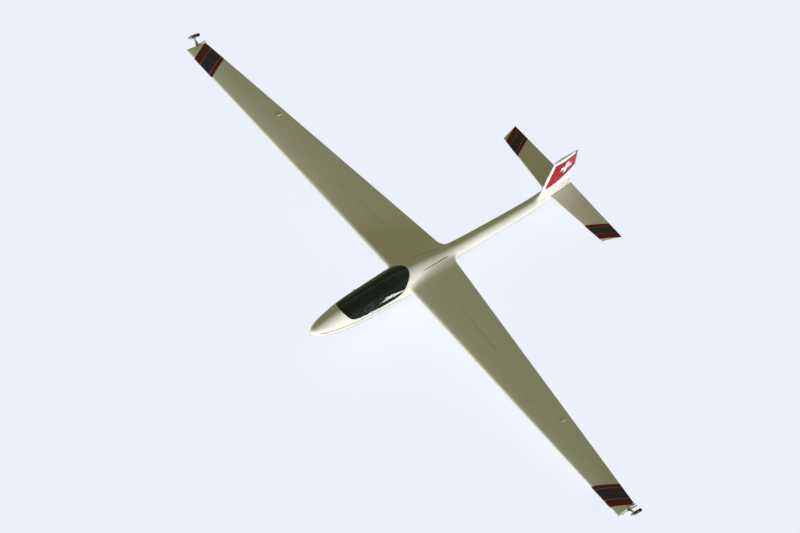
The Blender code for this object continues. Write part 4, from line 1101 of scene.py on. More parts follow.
    # a rib pressed along the arm's back, and the foot's gusset
    shape.tube([base.lerp(head, t) - across * 0.0012 for t in (0.06, 0.35, 0.70, 0.98)], [0.0060, 0.0055, 0.0050, 0.0045], 14, up=across)
    cradle = []
    for d, grow in ((-0.0560, -0.0010), (-0.0545, 0.0), (0.0545, 0.0), (0.0560, -0.0010)):
        arc = [math.radians(-40 + 80 * k / 14) for k in range(15)]
        cradle.append([under(d, (r + 0.0034 + grow) * math.cos(a), (r + 0.0034 + grow) * math.sin(a)) for a in arc]
                      + [under(d, (r + 0.0005) * math.cos(a), (r + 0.0005) * math.sin(a)) for a in arc[::-1]])
    shape.loft(cradle)
    for d in (-0.040, 0.040):
        shape.turned([(r + 0.0004, -0.0062), (r + 0.0012, -0.0066), (r + 0.0018, -0.0050), (r + 0.0018, 0.0050), (r + 0.0012, 0.0066), (r + 0.0004, 0.0062)],
                     centre + axis * d, axis, 44, closed=True)
        knot = centre + axis * d + lean * (r + 0.0052)
        shape.tube([knot - across * 0.0085, knot + across * 0.0085], 0.0042, 14)
        shape.bolt(knot + across * 0.0085, across, 0.0034, 0.0040)
    for share in (0.22, 0.42):
        shape.bolt(tip_point(share, 0.0088, 0), (side, 0, 0), 0.0042, 0.0030)
    settle(shape.become("smoke_canister_mount_" + word, [STEEL, BAR_DARK]), "airframe", "smoke_mount_" + word)
    shape = Shape()
    back = CANISTER_LENGTH / 2
    shape.turned([(0, -back), (0.006, -back), (0.0105, -back + 0.003), (0.0176, -back + 0.014), (0.0262, -back + 0.038), (r - 0.0004, -back + 0.062), (r, -back + 0.074), (r - 0.0010, -back + 0.0745)], centre, axis, 44, 1)
    shape.turned([(r - 0.0010, -back + 0.0740), (r - 0.0001, -back + 0.0755), (r, -0.030), (r - 0.0005, -0.028), (r - 0.0005, -0.025), (r, -0.023), (r, back - 0.050), (r - 0.0006, back - 0.048)], centre, axis, 44, 0)
    shape.turned([(r - 0.0006, back - 0.048), (r, back - 0.046), (r, back - 0.004), (r - 0.003, back), (0.013, back), (0.0115, back - 0.010), (0, back - 0.012)], centre, axis, 44, 2)
    settle(shape.become("smoke_cartridge_" + word, [CANISTER, NOSE_GREY, CANISTER_END]), "airframe", "smoke_canister_" + word)

# ------------------------------------------------------------ tailplane and elevator
for side, word in SIDES:
    xs = [0.02, 0.05, 0.08] + list(np.linspace(0.11, TAIL_HALF - 0.16, 14))
    rings = [tail_ring(x, foil(tail_at(x)[1], TAIL_THICKNESS, 36), side, TAIL_RAKE * float(ease((x - 0.8) / 0.65)) if x > 0.8 else 0.0) for x in xs]
    tip = []
    for i in range(0, 9):
        t = i / 8 * math.pi / 2
        x = TAIL_HALF - 0.13 + 0.129 * math.sin(t) ** 1.0
        keep = 0.30 + 0.70 * math.cos(t) ** 0.8
        tip.append((x, TAIL_RAKE * float(ease((x - 0.8) / 0.65)), keep))
    rings += [tail_ring(x, foil(tail_at(x)[1], TAIL_THICKNESS, 36), side, rake, keep) for x, rake, keep in tip]
    shape = Shape()
    shape.loft(rings)
    stab = shape.become("tailplane_skin_" + word, GELCOAT_TAIL)
    bay_tool = tool("tool_bay", [tail_ring(x, cove(tail_at(x)[1], TAIL_THICKNESS, elevator_hinge(x)), side) for x in (-0.03, 1.9)], GELCOAT)
    carve(stab, ("DIFFERENCE", bay_tool), ("DIFFERENCE", tool("tool_hull", hull_rings(np.arange(6.21, 6.88, 0.03), 0.0004))), crease=30.0)
    settle(stab, "airframe", "tailplane_" + word)
    # its inner end is swept to clear the tapering tail cone
    y, chord, z = tail_at(ELEVATOR_X0)
    hinge = elevator_hinge(ELEVATOR_X0)
    inner = [Vector((side * (ELEVATOR_X0 + (ELEVATOR_X0_AFT - ELEVATOR_X0) * max(c - hinge, 0.0) / (chord - hinge)), y + c, z + h))
             for c, h in flap(chord, TAIL_THICKNESS, hinge)]
    xs = list(np.linspace(0.145, TAIL_HALF - 0.16, 14))
    rings = [inner] + [tail_ring(x, flap(tail_at(x)[1], TAIL_THICKNESS, elevator_hinge(x)), side, TAIL_RAKE * float(ease((x - 0.8) / 0.65)) if x > 0.8 else 0.0) for x in xs]
    rings += [tail_ring(x, flap(tail_at(x)[1], TAIL_THICKNESS, elevator_hinge(x)), side, rake, keep) for x, rake, keep in tip]
    shape = Shape()
    shape.loft(rings)
    settle(shape.become("elevator_skin_" + word, GELCOAT_TAIL, 30.0), "elevator", "elevator_" + word)
    # a thin dark seal where the root meets the boom
    shape = Shape()
    reach_x, sections = 0.11, []
    whole = foil(tail_at(0.11)[1], TAIL_THICKNESS, 60)
    out = outward(whole, 1)
    for (c, h), n in zip(whole, out):
        if c > elevator_hinge(0.09) - 0.0215:
            continue
        for _ in range(4):
            y, chord, z = tail_at(reach_x)
            reach_x = hull_x(y + c, z + h)
        sections.append([Vector((side * (reach_x + dx), y + c + lift * n[0], z + h + lift * n[1]))
                         for dx, lift in ((-0.0030, -0.0010), (-0.0010, 0.0016), (0.0022, 0.0022), (0.0042, 0.0012), (0.0048, -0.0010))])
    shape.loft(sections)
    settle(shape.become("tailplane_root_seal_" + word, SEAL), "airframe")
    shape = Shape()
    for under in (False, True):
        rings = []
        for x in np.linspace(0.097, 1.30, 16):
            y, chord, z = tail_at(x)
            hinge = elevator_hinge(x)
            radius = float(foil_height(hinge / chord, TAIL_THICKNESS)) * chord
            front = hinge - math.sqrt(max((radius + CLEAR) ** 2 - radius**2, 0)) - 0.012
            rake = TAIL_RAKE * float(ease((x - 0.8) / 0.65)) if x > 0.8 else 0.0
            flip = -1 if under else 1
            cs = np.linspace(front, hinge - 0.0032, 5)

            def on(c, lift):
                return Vector((side * (x + rake * c / chord), y + c, z + flip * (float(foil_height(c / chord, TAIL_THICKNESS)) * chord + lift)))

            rings.append([on(c, 0.0008 + 0.0001 * k) for k, c in enumerate(cs)] + [on(c, 0.0006 - 0.000125 * k) for k, c in enumerate(cs[::-1])])
        shape.loft(rings)
    settle(shape.become("elevator_seals_" + word, GELCOAT_TAIL), "airframe")

shape = Shape()
shape.turned([(0, -0.0935), (0.0105, -0.0935), (0.012, -0.0925), (0.012, -0.0912), (0.0150, -0.0906), (0.0150, -0.0872), (0.012, -0.0866), (0.012, 0.0866), (0.0150, 0.0872), (0.0150, 0.0906), (0.012, 0.0912), (0.012, 0.0925), (0.0105, 0.0935), (0, 0.0935)],
             (0, ELEVATOR_HINGE_Y, TAIL_Z), (1, 0, 0), 32)
settle(shape.become("elevator_tube", STEEL), "elevator", "elevator_torque_tube")

# ------------------------------------------------------------ fin and rudder
FIN_ROWS = [(z, FIN_TOP_RISE * max(z - 0.75, 0.0) / 0.38, 1.0) for z in list(np.linspace(0.03, 0.33, 7)) + list(np.linspace(0.36, 0.45, 7)) + list(np.linspace(0.50, 1.05, 12))]
for i in range(0, 9):
    t = i / 8 * math.pi / 2
    FIN_ROWS.append((1.085 + 0.068 * math.sin(t), 0.072 + 0.010 * math.sin(t), 0.40 + 0.60 * math.cos(t) ** 0.7))
shape = Shape()
shape.loft([fin_ring(z, foil(fin_at(z + rise)[1], FIN_THICKNESS, 40), rise, keep) for z, rise, keep in FIN_ROWS])
fin = shape.become("fin_skin", PAINT_FIN)
bay_tool = tool("tool_bay", [fin_ring(z, cove(fin_at(z)[1], FIN_THICKNESS, rudder_hinge(z))) for z in (RUDDER_BOTTOM_Z - 0.009, 0.36, 0.38, 0.40, 0.42, 0.44, 1.5)], PAINT_FIN)
carve(fin, ("DIFFERENCE", bay_tool), crease=30.0)
settle(fin, "airframe", "fin")
rows = [(z, rise, keep) for z, rise, keep in FIN_ROWS if z > RUDDER_BOTTOM_Z + 0.01]
rows = [(RUDDER_BOTTOM_Z, 0.0, 0.86), (RUDDER_BOTTOM_Z + 0.004, 0.0, 0.97), (RUDDER_BOTTOM_Z + 0.010, 0.0, 1.0)] + rows
shape = Shape()
shape.loft([fin_ring(z, flap(fin_at(z + rise)[1], FIN_THICKNESS, rudder_hinge(z, rise), 18, 16), rise, keep) for z, rise, keep in rows])
settle(shape.become("rudder_skin", PAINT_FIN, 30.0), "rudder", "rudder")


def hull_top(x, y, grow=0.0):
    centre, wide, up, deep = station(min(y, 6.885))
    share = min(abs(x) / wide, 0.999)
    return centre + up * (1 - share**ROUND_TOP) ** (1 / ROUND_TOP)


z_rib = 0.300
y0, chord = fin_at(z_rib)
whole = foil(chord, FIN_THICKNESS, 44)
cut = rudder_hinge(RUDDER_BOTTOM_Z) - 0.062
kept = [(c, h) for c, h in whole if c < cut - 0.002]
close = float(foil_height(cut / chord, FIN_THICKNESS)) * chord
loop = [(cut, close)] + kept + [(cut, -close)]
base = [(h, y0 + c) for c, h in loop]
push = outward(base, 1)
push[0], push[-1] = (1.0, 0.0), (-1.0, 0.0)
share = np.array([c / chord for c, h in loop])
reach = 0.036 + 0.110 * (1 - ease(share / 0.06))
made = fairing("fin_root_fairing", base, push, reach, z_rib, hull_top, "z", gelcoat("fin_root_paint"), -0.02, 14)
settle(made, "airframe", ())

shape = Shape()
for z in (0.36, 0.70, 1.03):
    y = FIN_LE_Y + rudder_hinge(z)
    axis = Vector((0, RUDDER_HINGE_SLOPE, 1)).normalized()
    shape.turned([(0, -0.016), (0.0055, -0.016), (0.0065, -0.015), (0.0065, 0.015), (0.0055, 0.016), (0, 0.016)], (0, y - 0.0555 * fin_at(z)[1] / 0.86 - 0.004, z), axis, 20)
settle(shape.become("rudder_hinge_pins", STEEL), "airframe")

# ------------------------------------------------------------ canopy
N_EDGE, N_OVER = 76, 44


def dome(by, grow):
    """Rows over the canopy from its left edge to its right, one for each pair of points on the edge."""
    half_loop = edge_loop(by, grow, N_EDGE)
    rows = []
    for x, y, z in half_loop:
        if x < 1e-6:
            rows.append([Vector((0, y, z))])
            continue
        start = hull_angle(y, z, grow)
        rows.append([hull_point(y, start + (math.pi - 2 * start) * k / N_OVER, grow) for k in range(N_OVER + 1)])
    return rows


def skin_dome(shape, rows, slot=0):
    ids = [shape.add(r) for r in rows]
    for low, high in zip(ids, ids[1:]):
        if len(low) == 1:
            for k in range(N_OVER):
                shape.face((low[0], high[k], high[k + 1]), slot)
        elif len(high) == 1:
            for k in range(N_OVER):
                shape.face((low[k], high[0], low[k + 1]), slot)
        else:
            for k in range(N_OVER):
                shape.face((low[k], high[k], high[k + 1], low[k + 1]), slot)
    return [r[0] for r in ids] + [r[-1] for r in ids[-2:0:-1]]


shape = Shape()
outer = skin_dome(shape, dome(CANOPY_GAP, 0.0))
inner = skin_dome(shape, dome(CANOPY_GAP + 0.002, -0.0045))
for i in range(len(outer)):
    j = (i + 1) % len(outer)
    shape.face((outer[i], outer[j], inner[j], inner[i]))
bubble = shape.become("canopy_bubble", ACRYLIC, 40.0)
settle(bubble, "canopy", "canopy_glass")

shape = Shape()
loops = [all_round(edge_loop(by, grow, N_EDGE)) for by, grow in (
    (CANOPY_GAP + 0.003, -0.0052), (CANOPY_GAP + 0.001, -0.0075), (CANOPY_GAP + 0.002, -0.0160), (CANOPY_GAP + 0.010, -0.0195), (CANOPY_GAP + 0.026, -0.0190),
    (CANOPY_GAP + 0.034, -0.0150), (CANOPY_GAP + 0.035, -0.0080), (CANOPY_GAP + 0.032, -0.0052))]
rows = [shape.add(p) for p in loops]
shape.skin(rows + [rows[0]])
settle(shape.become("canopy_frame_ring", SATIN_BLACK, 40.0), "canopy", "canopy_frame")

# seal along the sill, on the fuselage
shape = Shape()
left = edge_loop(-0.0015, -0.010, 90)
shape_path = all_round(left)
ring_rows = []
count = len(shape_path)
for i, p in enumerate(shape_path):
    run = (shape_path[(i + 1) % count] - shape_path[i - 1]).normalized()
    up = Vector((0, 0, 1)) - run * run.z
    up = up.normalized() if up.length > 0.05 else Vector((0, 1, 0))
    across = run.cross(up)
    ring_rows.append([p + (across * math.cos(t) * 0.0045 + up * math.sin(t) * 0.0034) for t in (2 * math.pi * k / 10 for k in range(10))])
ids = [shape.add(r) for r in ring_rows]
shape.skin(ids + [ids[0]])
settle(shape.become("canopy_sill_seal", SEAL), "airframe")

# vent window in the left pane, hinges on the right, latch on the left
shape = Shape()
vent = []
for k in range(64):
    a = 2 * math.pi * k / 64
    vent.append((1.23 + 0.105 * math.copysign(abs(math.cos(a)) ** 0.5, math.cos(a)), 0.62 + 0.155 * math.copysign(abs(math.sin(a)) ** 0.5, math.sin(a))))
for grow_out, grow_in in ((0.0022, 0.0),):
    ring_rows = []
    for k, (y, t) in enumerate(vent):
        y2, t2 = vent[(k + 1) % 64]
        y1, t1 = vent[k - 1]
        p, q = hull_point(y, t, 0.0), hull_point(y, t, 0.01)
        run = (hull_point(y2, t2) - hull_point(y1, t1)).normalized()
        out = (q - p).normalized()
        side_way = run.cross(out).normalized()
        ring_rows.append([p + side_way * a + out * b for a, b in ((-0.0045, -0.0005), (-0.0045, 0.0010), (-0.0030, 0.0020), (0.0030, 0.0020), (0.0045, 0.0010), (0.0045, -0.0005))])
    ids = [shape.add(r) for r in ring_rows]
    shape.skin(ids + [ids[0]])
settle(shape.become("vent_window_frame", BLACK), "canopy")

HINGE = Vector((-0.300, 1.35, -0.052))
shape, leaves = Shape(), Shape()
for y in (1.34, 1.74):
    for dy in (-0.022, 0.022):
        shape.turned([(0, -0.009), (0.0045, -0.009), (0.0055, -0.008), (0.0055, 0.008), (0.0045, 0.009), (0, 0.009)], (HINGE.x, y + dy, HINGE.z), (0, 1, 0), 20)
        shape.tube([(HINGE.x, y + dy, HINGE.z + 0.003), (HINGE.x + 0.006, y + dy, HINGE.z + 0.012), (-hull_x(y, HINGE.z + 0.030) + 0.006, y + dy, HINGE.z + 0.030)], 0.0045, 10, flat=0.6)
    leaves.turned([(0, -0.012), (0.0045, -0.012), (0.0055, -0.011), (0.0055, 0.011), (0.0045, 0.012), (0, 0.012)], (HINGE.x, y, HINGE.z), (0, 1, 0), 20)
    leaves.tube([(HINGE.x, y, HINGE.z - 0.002), (HINGE.x + 0.003, y, HINGE.z - 0.012), (-hull_x(y, HINGE.z - 0.030) + 0.004, y, HINGE.z - 0.030)], 0.0055, 10, flat=0.6)
settle(shape.become("canopy_hinge_arms", STEEL), "canopy")
settle(leaves.become("canopy_hinge_seats", STEEL), "airframe")
shape = Shape()
shape.tube([(0.262, 1.30, 0.010), (0.250, 1.30, 0.012), (0.243, 1.32, 0.014), (0.242, 1.40, 0.012), (0.250, 1.42, 0.010), (0.262, 1.42, 0.008)], 0.0055, 12)
settle(shape.become("canopy_grab_handle", BLACK), "canopy")


# ------------------------------------------------------------ undercarriage
def tyre_profile(radius, half, rim_r, rim_half, mid, grooves=(), cut=0.003):
    high = radius - mid
    profile = []
    for k in range(61):
        a = -half * math.cos(math.pi * k / 60)
        r = mid + high * (1 - min(abs(a / half), 1.0) ** 2.6) ** (1 / 2.2)
        profile.append((r, a))
    extra = []
    for g in grooves:
        for d, deep in ((-0.0024, 0), (-0.0018, cut), (0.0018, cut), (0.0024, 0)):
            a = g + d
            r = mid + high * (1 - abs(a / half) ** 2.6) ** (1 / 2.2)
            extra.append((r - deep, a))
    profile = [p for p in profile if not any(abs(p[1] - g) < 0.0026 for g in grooves)] + extra
    profile.sort(key=lambda p: p[1])
    down_left = [(rim_r, -rim_half), (rim_r + 0.4 * (mid - rim_r), -rim_half - 0.7 * (half - rim_half))]
    down_right = [(rim_r + 0.4 * (mid - rim_r), rim_half + 0.7 * (half - rim_half)), (rim_r, rim_half)]
    return down_left + profile + down_right


shape = Shape()
shape.turned(tyre_profile(MAIN_RADIUS, 0.0625, 0.0885, 0.048, 0.135, (-0.025, -0.0085, 0.0085, 0.025)), MAIN_AXLE, (1, 0, 0), 120, closed=True)
settle(shape.become("main_wheel_tyre", RUBBER, 30.0), "main_wheel", "main_tyre")
shape = Shape()
shape.turned([(0.0135, -0.050), (0.034, -0.050), (0.038, -0.047), (0.042, -0.030), (0.048, -0.022), (0.068, -0.020), (0.0745, -0.030), (0.078, -0.050), (0.0800, -0.0545), (0.0875, -0.0550),
              (0.0880, -0.0480), (0.0860, -0.0440), (0.0860, 0.0440), (0.0880, 0.0480), (0.0875, 0.0550), (0.0800, 0.0545), (0.078, 0.050), (0.0745, 0.030), (0.068, 0.020), (0.048, 0.022),
              (0.042, 0.030), (0.038, 0.047), (0.034, 0.050), (0.0135, 0.050)], MAIN_AXLE, (1, 0, 0), 80, closed=True)
rim = shape.become("main_wheel_rim", ALLOY, 35.0)
shape = Shape()
for k in range(6):
    a = 2 * math.pi * (k + 0.5) / 6
    shape.turned([(0, -0.06), (0.0085, -0.06), (0.0085, 0.06), (0, 0.06)], MAIN_AXLE + Vector((0, 0.058 * math.cos(a), 0.058 * math.sin(a))), (1, 0, 0), 20)
carve(rim, ("DIFFERENCE", shape.become("tool_rim_holes", ALLOY)), crease=35.0)
settle(rim, "main_wheel", "main_rim")
shape = Shape()
for k in range(6):
    a = 2 * math.pi * k / 6
    for out in (-1, 1):
        shape.bolt(MAIN_AXLE + Vector((out * 0.0205, 0.058 * math.cos(a), 0.058 * math.sin(a))), (out, 0, 0), 0.0048, 0.0055)
shape.turned([(0.043, 0.0235), (0.073, 0.0235), (0.073, 0.0275), (0.043, 0.0275)], MAIN_AXLE, (1, 0, 0), 60, closed=True)
settle(shape.become("main_wheel_bolts_and_disc", STEEL, 30.0), "main_wheel")

shape = Shape()
axle = [(0, -0.0900), (0.0080, -0.0900), (0.0090, -0.0890), (0.0090, -0.0760), (0.012, -0.0757), (0.012, 0.0757), (0.0090, 0.0760), (0.0090, 0.0890), (0.0080, 0.0900), (0, 0.0900)]
shape.turned(axle, MAIN_AXLE, (1, 0, 0), 28)
for out in (-1, 1):
    shape.bolt(MAIN_AXLE + Vector((out * 0.0895, 0, 0)), (out, 0, 0), 0.0125, 0.009)
settle(shape.become("main_wheel_axle", STEEL, 30.0), "airframe", "main_axle")

shape = Shape()
for side in (1, -1):
    legs = []
    for x, shrink in ((0.0760, 0.003), (0.0775, 0.0), (0.0875, 0.0), (0.0890, 0.003)):
        ring = []
        for k in range(13):
            a = math.pi + math.pi * k / 12
            ring.append(Vector((side * x, 2.20 + (0.030 - shrink) * math.cos(a), -0.615 + (0.032 - shrink) * math.sin(a))))
        ring += [Vector((side * x, 2.20 + 0.033 - shrink, -0.52)), Vector((side * x, 2.20 + 0.035 - shrink, WELL_ROOF - 0.004)),
                 Vector((side * x, 2.20 - 0.035 + shrink, WELL_ROOF - 0.004)), Vector((side * x, 2.20 - 0.033 + shrink, -0.52))]
        legs.append(ring)
    shape.loft(legs)
    shape.tube([(side * 0.083, 2.235, -0.50), (side * 0.090, 2.30, -0.44), (side * 0.094, 2.385, WELL_ROOF - 0.006)], 0.008, 14)
    for z in (-0.47, -0.41):
        shape.bolt((side * 0.0888, 2.20, z), (side, 0, 0), 0.0060, 0.0045)
shape.tube([(-0.083, 2.172, -0.400), (0.083, 2.172, -0.400)], 0.009, 18)
shape.block((-0.0885, 2.166, WELL_ROOF - 0.030), (0.0885, 2.234, WELL_ROOF - 0.0004), 0.004)
settle(shape.become("main_gear_legs", STEEL, 30.0), "airframe", "main_gear_fork")
shape = Shape()
shape.block((0.0290, 2.262, -0.640), (0.0570, 2.292, -0.585), 0.005)
shape.tube([(0.050, 2.277, -0.590), (0.060, 2.270, -0.540), (0.074, 2.240, -0.470), (0.080, 2.225, -0.400), (0.080, 2.225, WELL_ROOF)], 0.0032, 10)
settle(shape.become("main_brake_caliper", BLACK), "airframe")

for side, word in SIDES:
    # wheel door: a thin curved panel on two hinge straps, with a stay
    shape = Shape()
    rows_out, rows_in = [], []
    n_v, n_u = 12, 18
    for i in range(n_v + 1):
        v = i / n_v
        z = -0.436 - 0.224 * v
        bow = 0.0090 * math.sin(math.pi * v) + 0.004 * v
        y_a = WELL_Y0 + 0.004 + 0.045 * float(ease((v - 0.70) / 0.30)) ** 1.3
        y_b = WELL_Y1 - 0.004 - 0.045 * float(ease((v - 0.70) / 0.30)) ** 1.3
        rows_out.append([Vector((side * (WELL_HALF - 0.0003 + min(bow, 0.012)), y_a + (y_b - y_a) * k / n_u, z)) for k in range(n_u + 1)])
        rows_in.append([Vector((side * (WELL_HALF - 0.0042 + min(bow, 0.012)), y_a + (y_b - y_a) * k / n_u, z)) for k in range(n_u + 1)])
    rings = []
    for a, b in zip(rows_out, rows_in):
        rings.append(a + b[::-1])
    shape.loft(rings)
    settle(shape.become("wheel_door_" + word, GELCOAT, 40.0), "airframe", "gear_door_" + word)
    shape = Shape()
    for y in (WELL_Y0 + 0.07, WELL_Y1 - 0.07):
        shape.turned([(0, -0.018), (0.0042, -0.018), (0.0050, -0.017), (0.0050, 0.017), (0.0042, 0.018), (0, 0.018)], (side * (WELL_HALF - 0.0060), y, -0.443), (0, 1, 0), 18)
        shape.block((side * (WELL_HALF - 0.0075) - 0.0014, y - 0.014, -0.520), (side * (WELL_HALF - 0.0075) + 0.0014, y + 0.014, -0.446), 0.001)
    shape.tube([(side * (WELL_HALF - 0.004), WELL_Y1 - 0.11, -0.560), (side * (WELL_HALF - 0.018), WELL_Y1 - 0.10, -0.500), (side * (WELL_HALF - 0.012), WELL_Y1 - 0.07, -0.395)], 0.0030, 10)
    settle(shape.become("wheel_door_hinges_" + word, STEEL), "airframe")

shape = Shape()
shape.turned(tyre_profile(TAIL_RADIUS, 0.023, 0.0465, 0.019, 0.064, (0.0,), 0.002), TAIL_AXLE, (1, 0, 0), 80, closed=True)
settle(shape.become("tail_wheel_tyre", RUBBER, 30.0), "tail_wheel", "tail_tyre")
shape = Shape()
shape.turned([(0.0085, -0.021), (0.018, -0.021), (0.0205, -0.019), (0.023, -0.0125), (0.037, -0.0120), (0.0405, -0.0150), (0.0425, -0.0185), (0.0455, -0.019), (0.0460, -0.0150), (0.0450, 0.0),
              (0.0460, 0.0150), (0.0455, 0.019), (0.0425, 0.0185), (0.0405, 0.0150), (0.037, 0.0120), (0.023, 0.0125), (0.0205, 0.019), (0.018, 0.021), (0.0085, 0.021)], TAIL_AXLE, (1, 0, 0), 56, closed=True)
for k in range(5):
    a = 2 * math.pi * k / 5
    for out in (-1, 1):
        shape.bolt(TAIL_AXLE + Vector((out * 0.0120, 0.030 * math.cos(a), 0.030 * math.sin(a))), (out, 0, 0), 0.0030, 0.0030)
settle(shape.become("tail_wheel_rim", ALLOY, 35.0), "tail_wheel", "tail_rim")
shape = Shape()
shape.turned([(0, -0.0440), (0.006, -0.0440), (0.0075, -0.0430), (0.0075, 0.0430), (0.006, 0.0440), (0, 0.0440)], TAIL_AXLE, (1, 0, 0), 24)
for out in (-1, 1):
    shape.bolt(TAIL_AXLE + Vector((out * 0.0425, 0, 0)), (out, 0, 0), 0.0080, 0.0050)
settle(shape.become("tail_wheel_axle", STEEL, 30.0), "airframe", "tail_axle")

# tail wheel fork: two moulded cheeks that flow into the boom
shape = Shape()
rings = []
for k in range(21):
    v = k / 20
    z = -0.100 - 0.212 * v
    front = 5.765 + 0.150 * ease(v) + 0.010 * v
    back = 6.150 - 0.165 * ease(v)
    wide = 0.040 - 0.001 * v
    ring = []
    for i in range(48):
        a = 2 * math.pi * i / 48
        c, s = math.cos(a), math.sin(a)
        ring.append(Vector((wide * math.copysign(abs(s) ** 0.75, s), (front + back) / 2 + (back - front) / 2 * math.copysign(abs(c) ** 0.85, c), z)))
    rings.append(ring)
for shrink, dz in ((0.90, -0.004), (0.70, -0.0065)):
    last = rings[20]
    mid_y = sum(p.y for p in last) / len(last)
    rings.append([Vector((p.x * (0.96 if shrink > 0.8 else 0.88), mid_y + (p.y - mid_y) * shrink, -0.312 + dz)) for p in last])
shape.loft(rings)
fork = shape.become("tail_wheel_fairing", GELCOAT)
shape = Shape()
slot_rings = []
for x in (-0.0295, 0.0295):
    slot_rings.append([Vector((x, 5.95 + 0.105 * math.cos(a), -0.287 + 0.0945 * math.sin(a))) for a in (math.pi * i / 24 for i in range(25))]
                      + [Vector((x, 5.845, -0.40)), Vector((x, 6.055, -0.40))])
shape.loft(slot_rings)
carve(fork, ("DIFFERENCE", shape.become("tool_fork_slot", WELL_GREY)), crease=35.0)
settle(fork, "airframe", "tail_wheel_fork")

# tow hook: cheek plates with their bolts, and the hook's beak
shape = Shape()
for side in (1, -1):
    cheek = []
    for x, shrink in ((0.0085, 0.0015), (0.0095, 0.0), (0.0150, 0.0), (0.0160, 0.0015)):
        cheek.append([Vector((side * x, 1.68 + (y - 1.68) * (1 - shrink / 0.06), -0.49 + (z + 0.49) * (1 - shrink / 0.08))) for y, z in
                      ((1.622, -0.47), (1.628, -0.545), (1.640, -0.563), (1.662, -0.571), (1.698, -0.571), (1.716, -0.560), (1.726, -0.540), (1.738, -0.47))])
    shape.loft(cheek)
    shape.bolt((side * 0.0160, 1.705, -0.552), (side, 0, 0), 0.0048, 0.0035)
    shape.bolt((side * 0.0160, 1.650, -0.545), (side, 0, 0), 0.0048, 0.0035)
shape.tube([(0, 1.712, -0.545), (0, 1.690, -0.560), (0, 1.668, -0.566), (0, 1.650, -0.560), (0, 1.642, -0.548)], [0.0075, 0.0075, 0.007, 0.006, 0.004], 14)
settle(shape.become("tow_hook_release", STEEL, 30.0), "airframe", "tow_hook")

# ------------------------------------------------------------ cockpit
SEAT = ((1.300, -0.335, 0.165), (1.380, -0.385, 0.165), (1.600, -0.400, 0.165), (1.700, -0.375, 0.170), (1.800, -0.285, 0.185),
        (1.900, -0.175, 0.200), (2.010, -0.055, 0.205), (2.055, 0.000, 0.190))
_s = np.array(SEAT)
_run = np.concatenate([[0], np.cumsum(np.hypot(np.diff(_s[:, 0]), np.diff(_s[:, 1])))])
SEAT_AT = [curve_through(_run, _s[:, k]) for k in range(3)]
SEAT_LONG = float(_run[-1])
SEAT_KNOTS = _run


def seat_frame(d):
    """Point on the seat's line, the direction along it and its upward normal, and the half width, at a distance along."""
    p = Vector((0, float(SEAT_AT[0](d)), float(SEAT_AT[1](d))))
    a, b = max(d - 0.01, 0), min(d + 0.01, SEAT_LONG)
    run = Vector((0, float(SEAT_AT[0](b) - SEAT_AT[0](a)), float(SEAT_AT[1](b) - SEAT_AT[1](a)))).normalized()
    return p, run, Vector((0, -run.z, run.y)), float(SEAT_AT[2](d))


shape = Shape()
rings = []
for k in range(41):
    p, run, up, half = seat_frame(SEAT_LONG * k / 40)
    top, low = [], []
    for i in range(25):
        u = -1 + 2 * i / 24
        rise = 0.034 * float(ease((abs(u) - 0.86) / 0.14))
        top.append(p + Vector((u * half, 0, 0)) + up * (0.0055 + rise))
        low.append(p + Vector((u * (half + 0.0015), 0, 0)) + up * (-0.0045 + rise * 0.9))
    rings.append(top + low[::-1])
shape.loft(rings)
settle(shape.become("seat_shell", COCKPIT, 40.0), "airframe", "seat_pan")


def stuffed(name, rings, look, grip, cap, voxel=0.006, pull=4.0):
    """A padded form: remeshed, blown up a little by pressure with its back held, capped and smoothed."""
    shape = Shape()
    shape.loft(rings)
    pad = shape.become(name, look)
    step = pad.modifiers.new("even", "REMESH")
    step.mode, step.voxel_size = "VOXEL", voxel
    graph = bpy.context.evaluated_depsgraph_get()
    mesh = bpy.data.meshes.new_from_object(pad.evaluated_get(graph))
    bpy.data.objects.remove(pad)
    pad = bpy.data.objects.new(name, mesh)
    SCENE.collection.objects.link(pad)
    mesh.materials.clear()
    mesh.materials.append(look)
    before = np.array([v.co for v in mesh.vertices])
    held = pad.vertex_groups.new(name="held")
    held.add([int(i) for i in np.where(grip(before))[0]], 1.0, "REPLACE")
    cloth = pad.modifiers.new("cloth", "CLOTH")
    cloth.settings.quality = 6
    cloth.settings.mass = 0.3
    cloth.settings.use_pressure = True
    cloth.settings.uniform_pressure_force = pull
    cloth.settings.tension_stiffness = cloth.settings.compression_stiffness = 12
    cloth.settings.shear_stiffness = 6
    cloth.settings.bending_stiffness = 0.6
    cloth.settings.effector_weights.gravity = 0.0
    cloth.settings.vertex_group_mass = "held"
    cloth.collision_settings.use_collision = False
    for f in range(1, 21):
        SCENE.frame_set(f)
    graph = bpy.context.evaluated_depsgraph_get()
    shown = pad.evaluated_get(graph).data
    after = np.array([v.co for v in shown.vertices])
    SCENE.frame_set(1)
    pad.modifiers.clear()
    shift = after - before
    size = np.linalg.norm(shift, axis=1)[:, None] + 1e-9
    shift *= np.minimum(size, cap) / size
    mesh.vertices.foreach_set("co", (before + shift).astype(np.float32).ravel())
    mesh.update()
    pad.vertex_groups.clear()
    step = pad.modifiers.new("relax", "SMOOTH")
    step.factor, step.iterations = 0.5, 4
    step = pad.modifiers.new("fine", "SUBSURF")
    step.levels = step.render_levels = 1
    graph = bpy.context.evaluated_depsgraph_get()
    final = bpy.data.meshes.new_from_object(pad.evaluated_get(graph))
    pad.modifiers.clear()
    pad.data = final
    final.shade_smooth()
    return pad


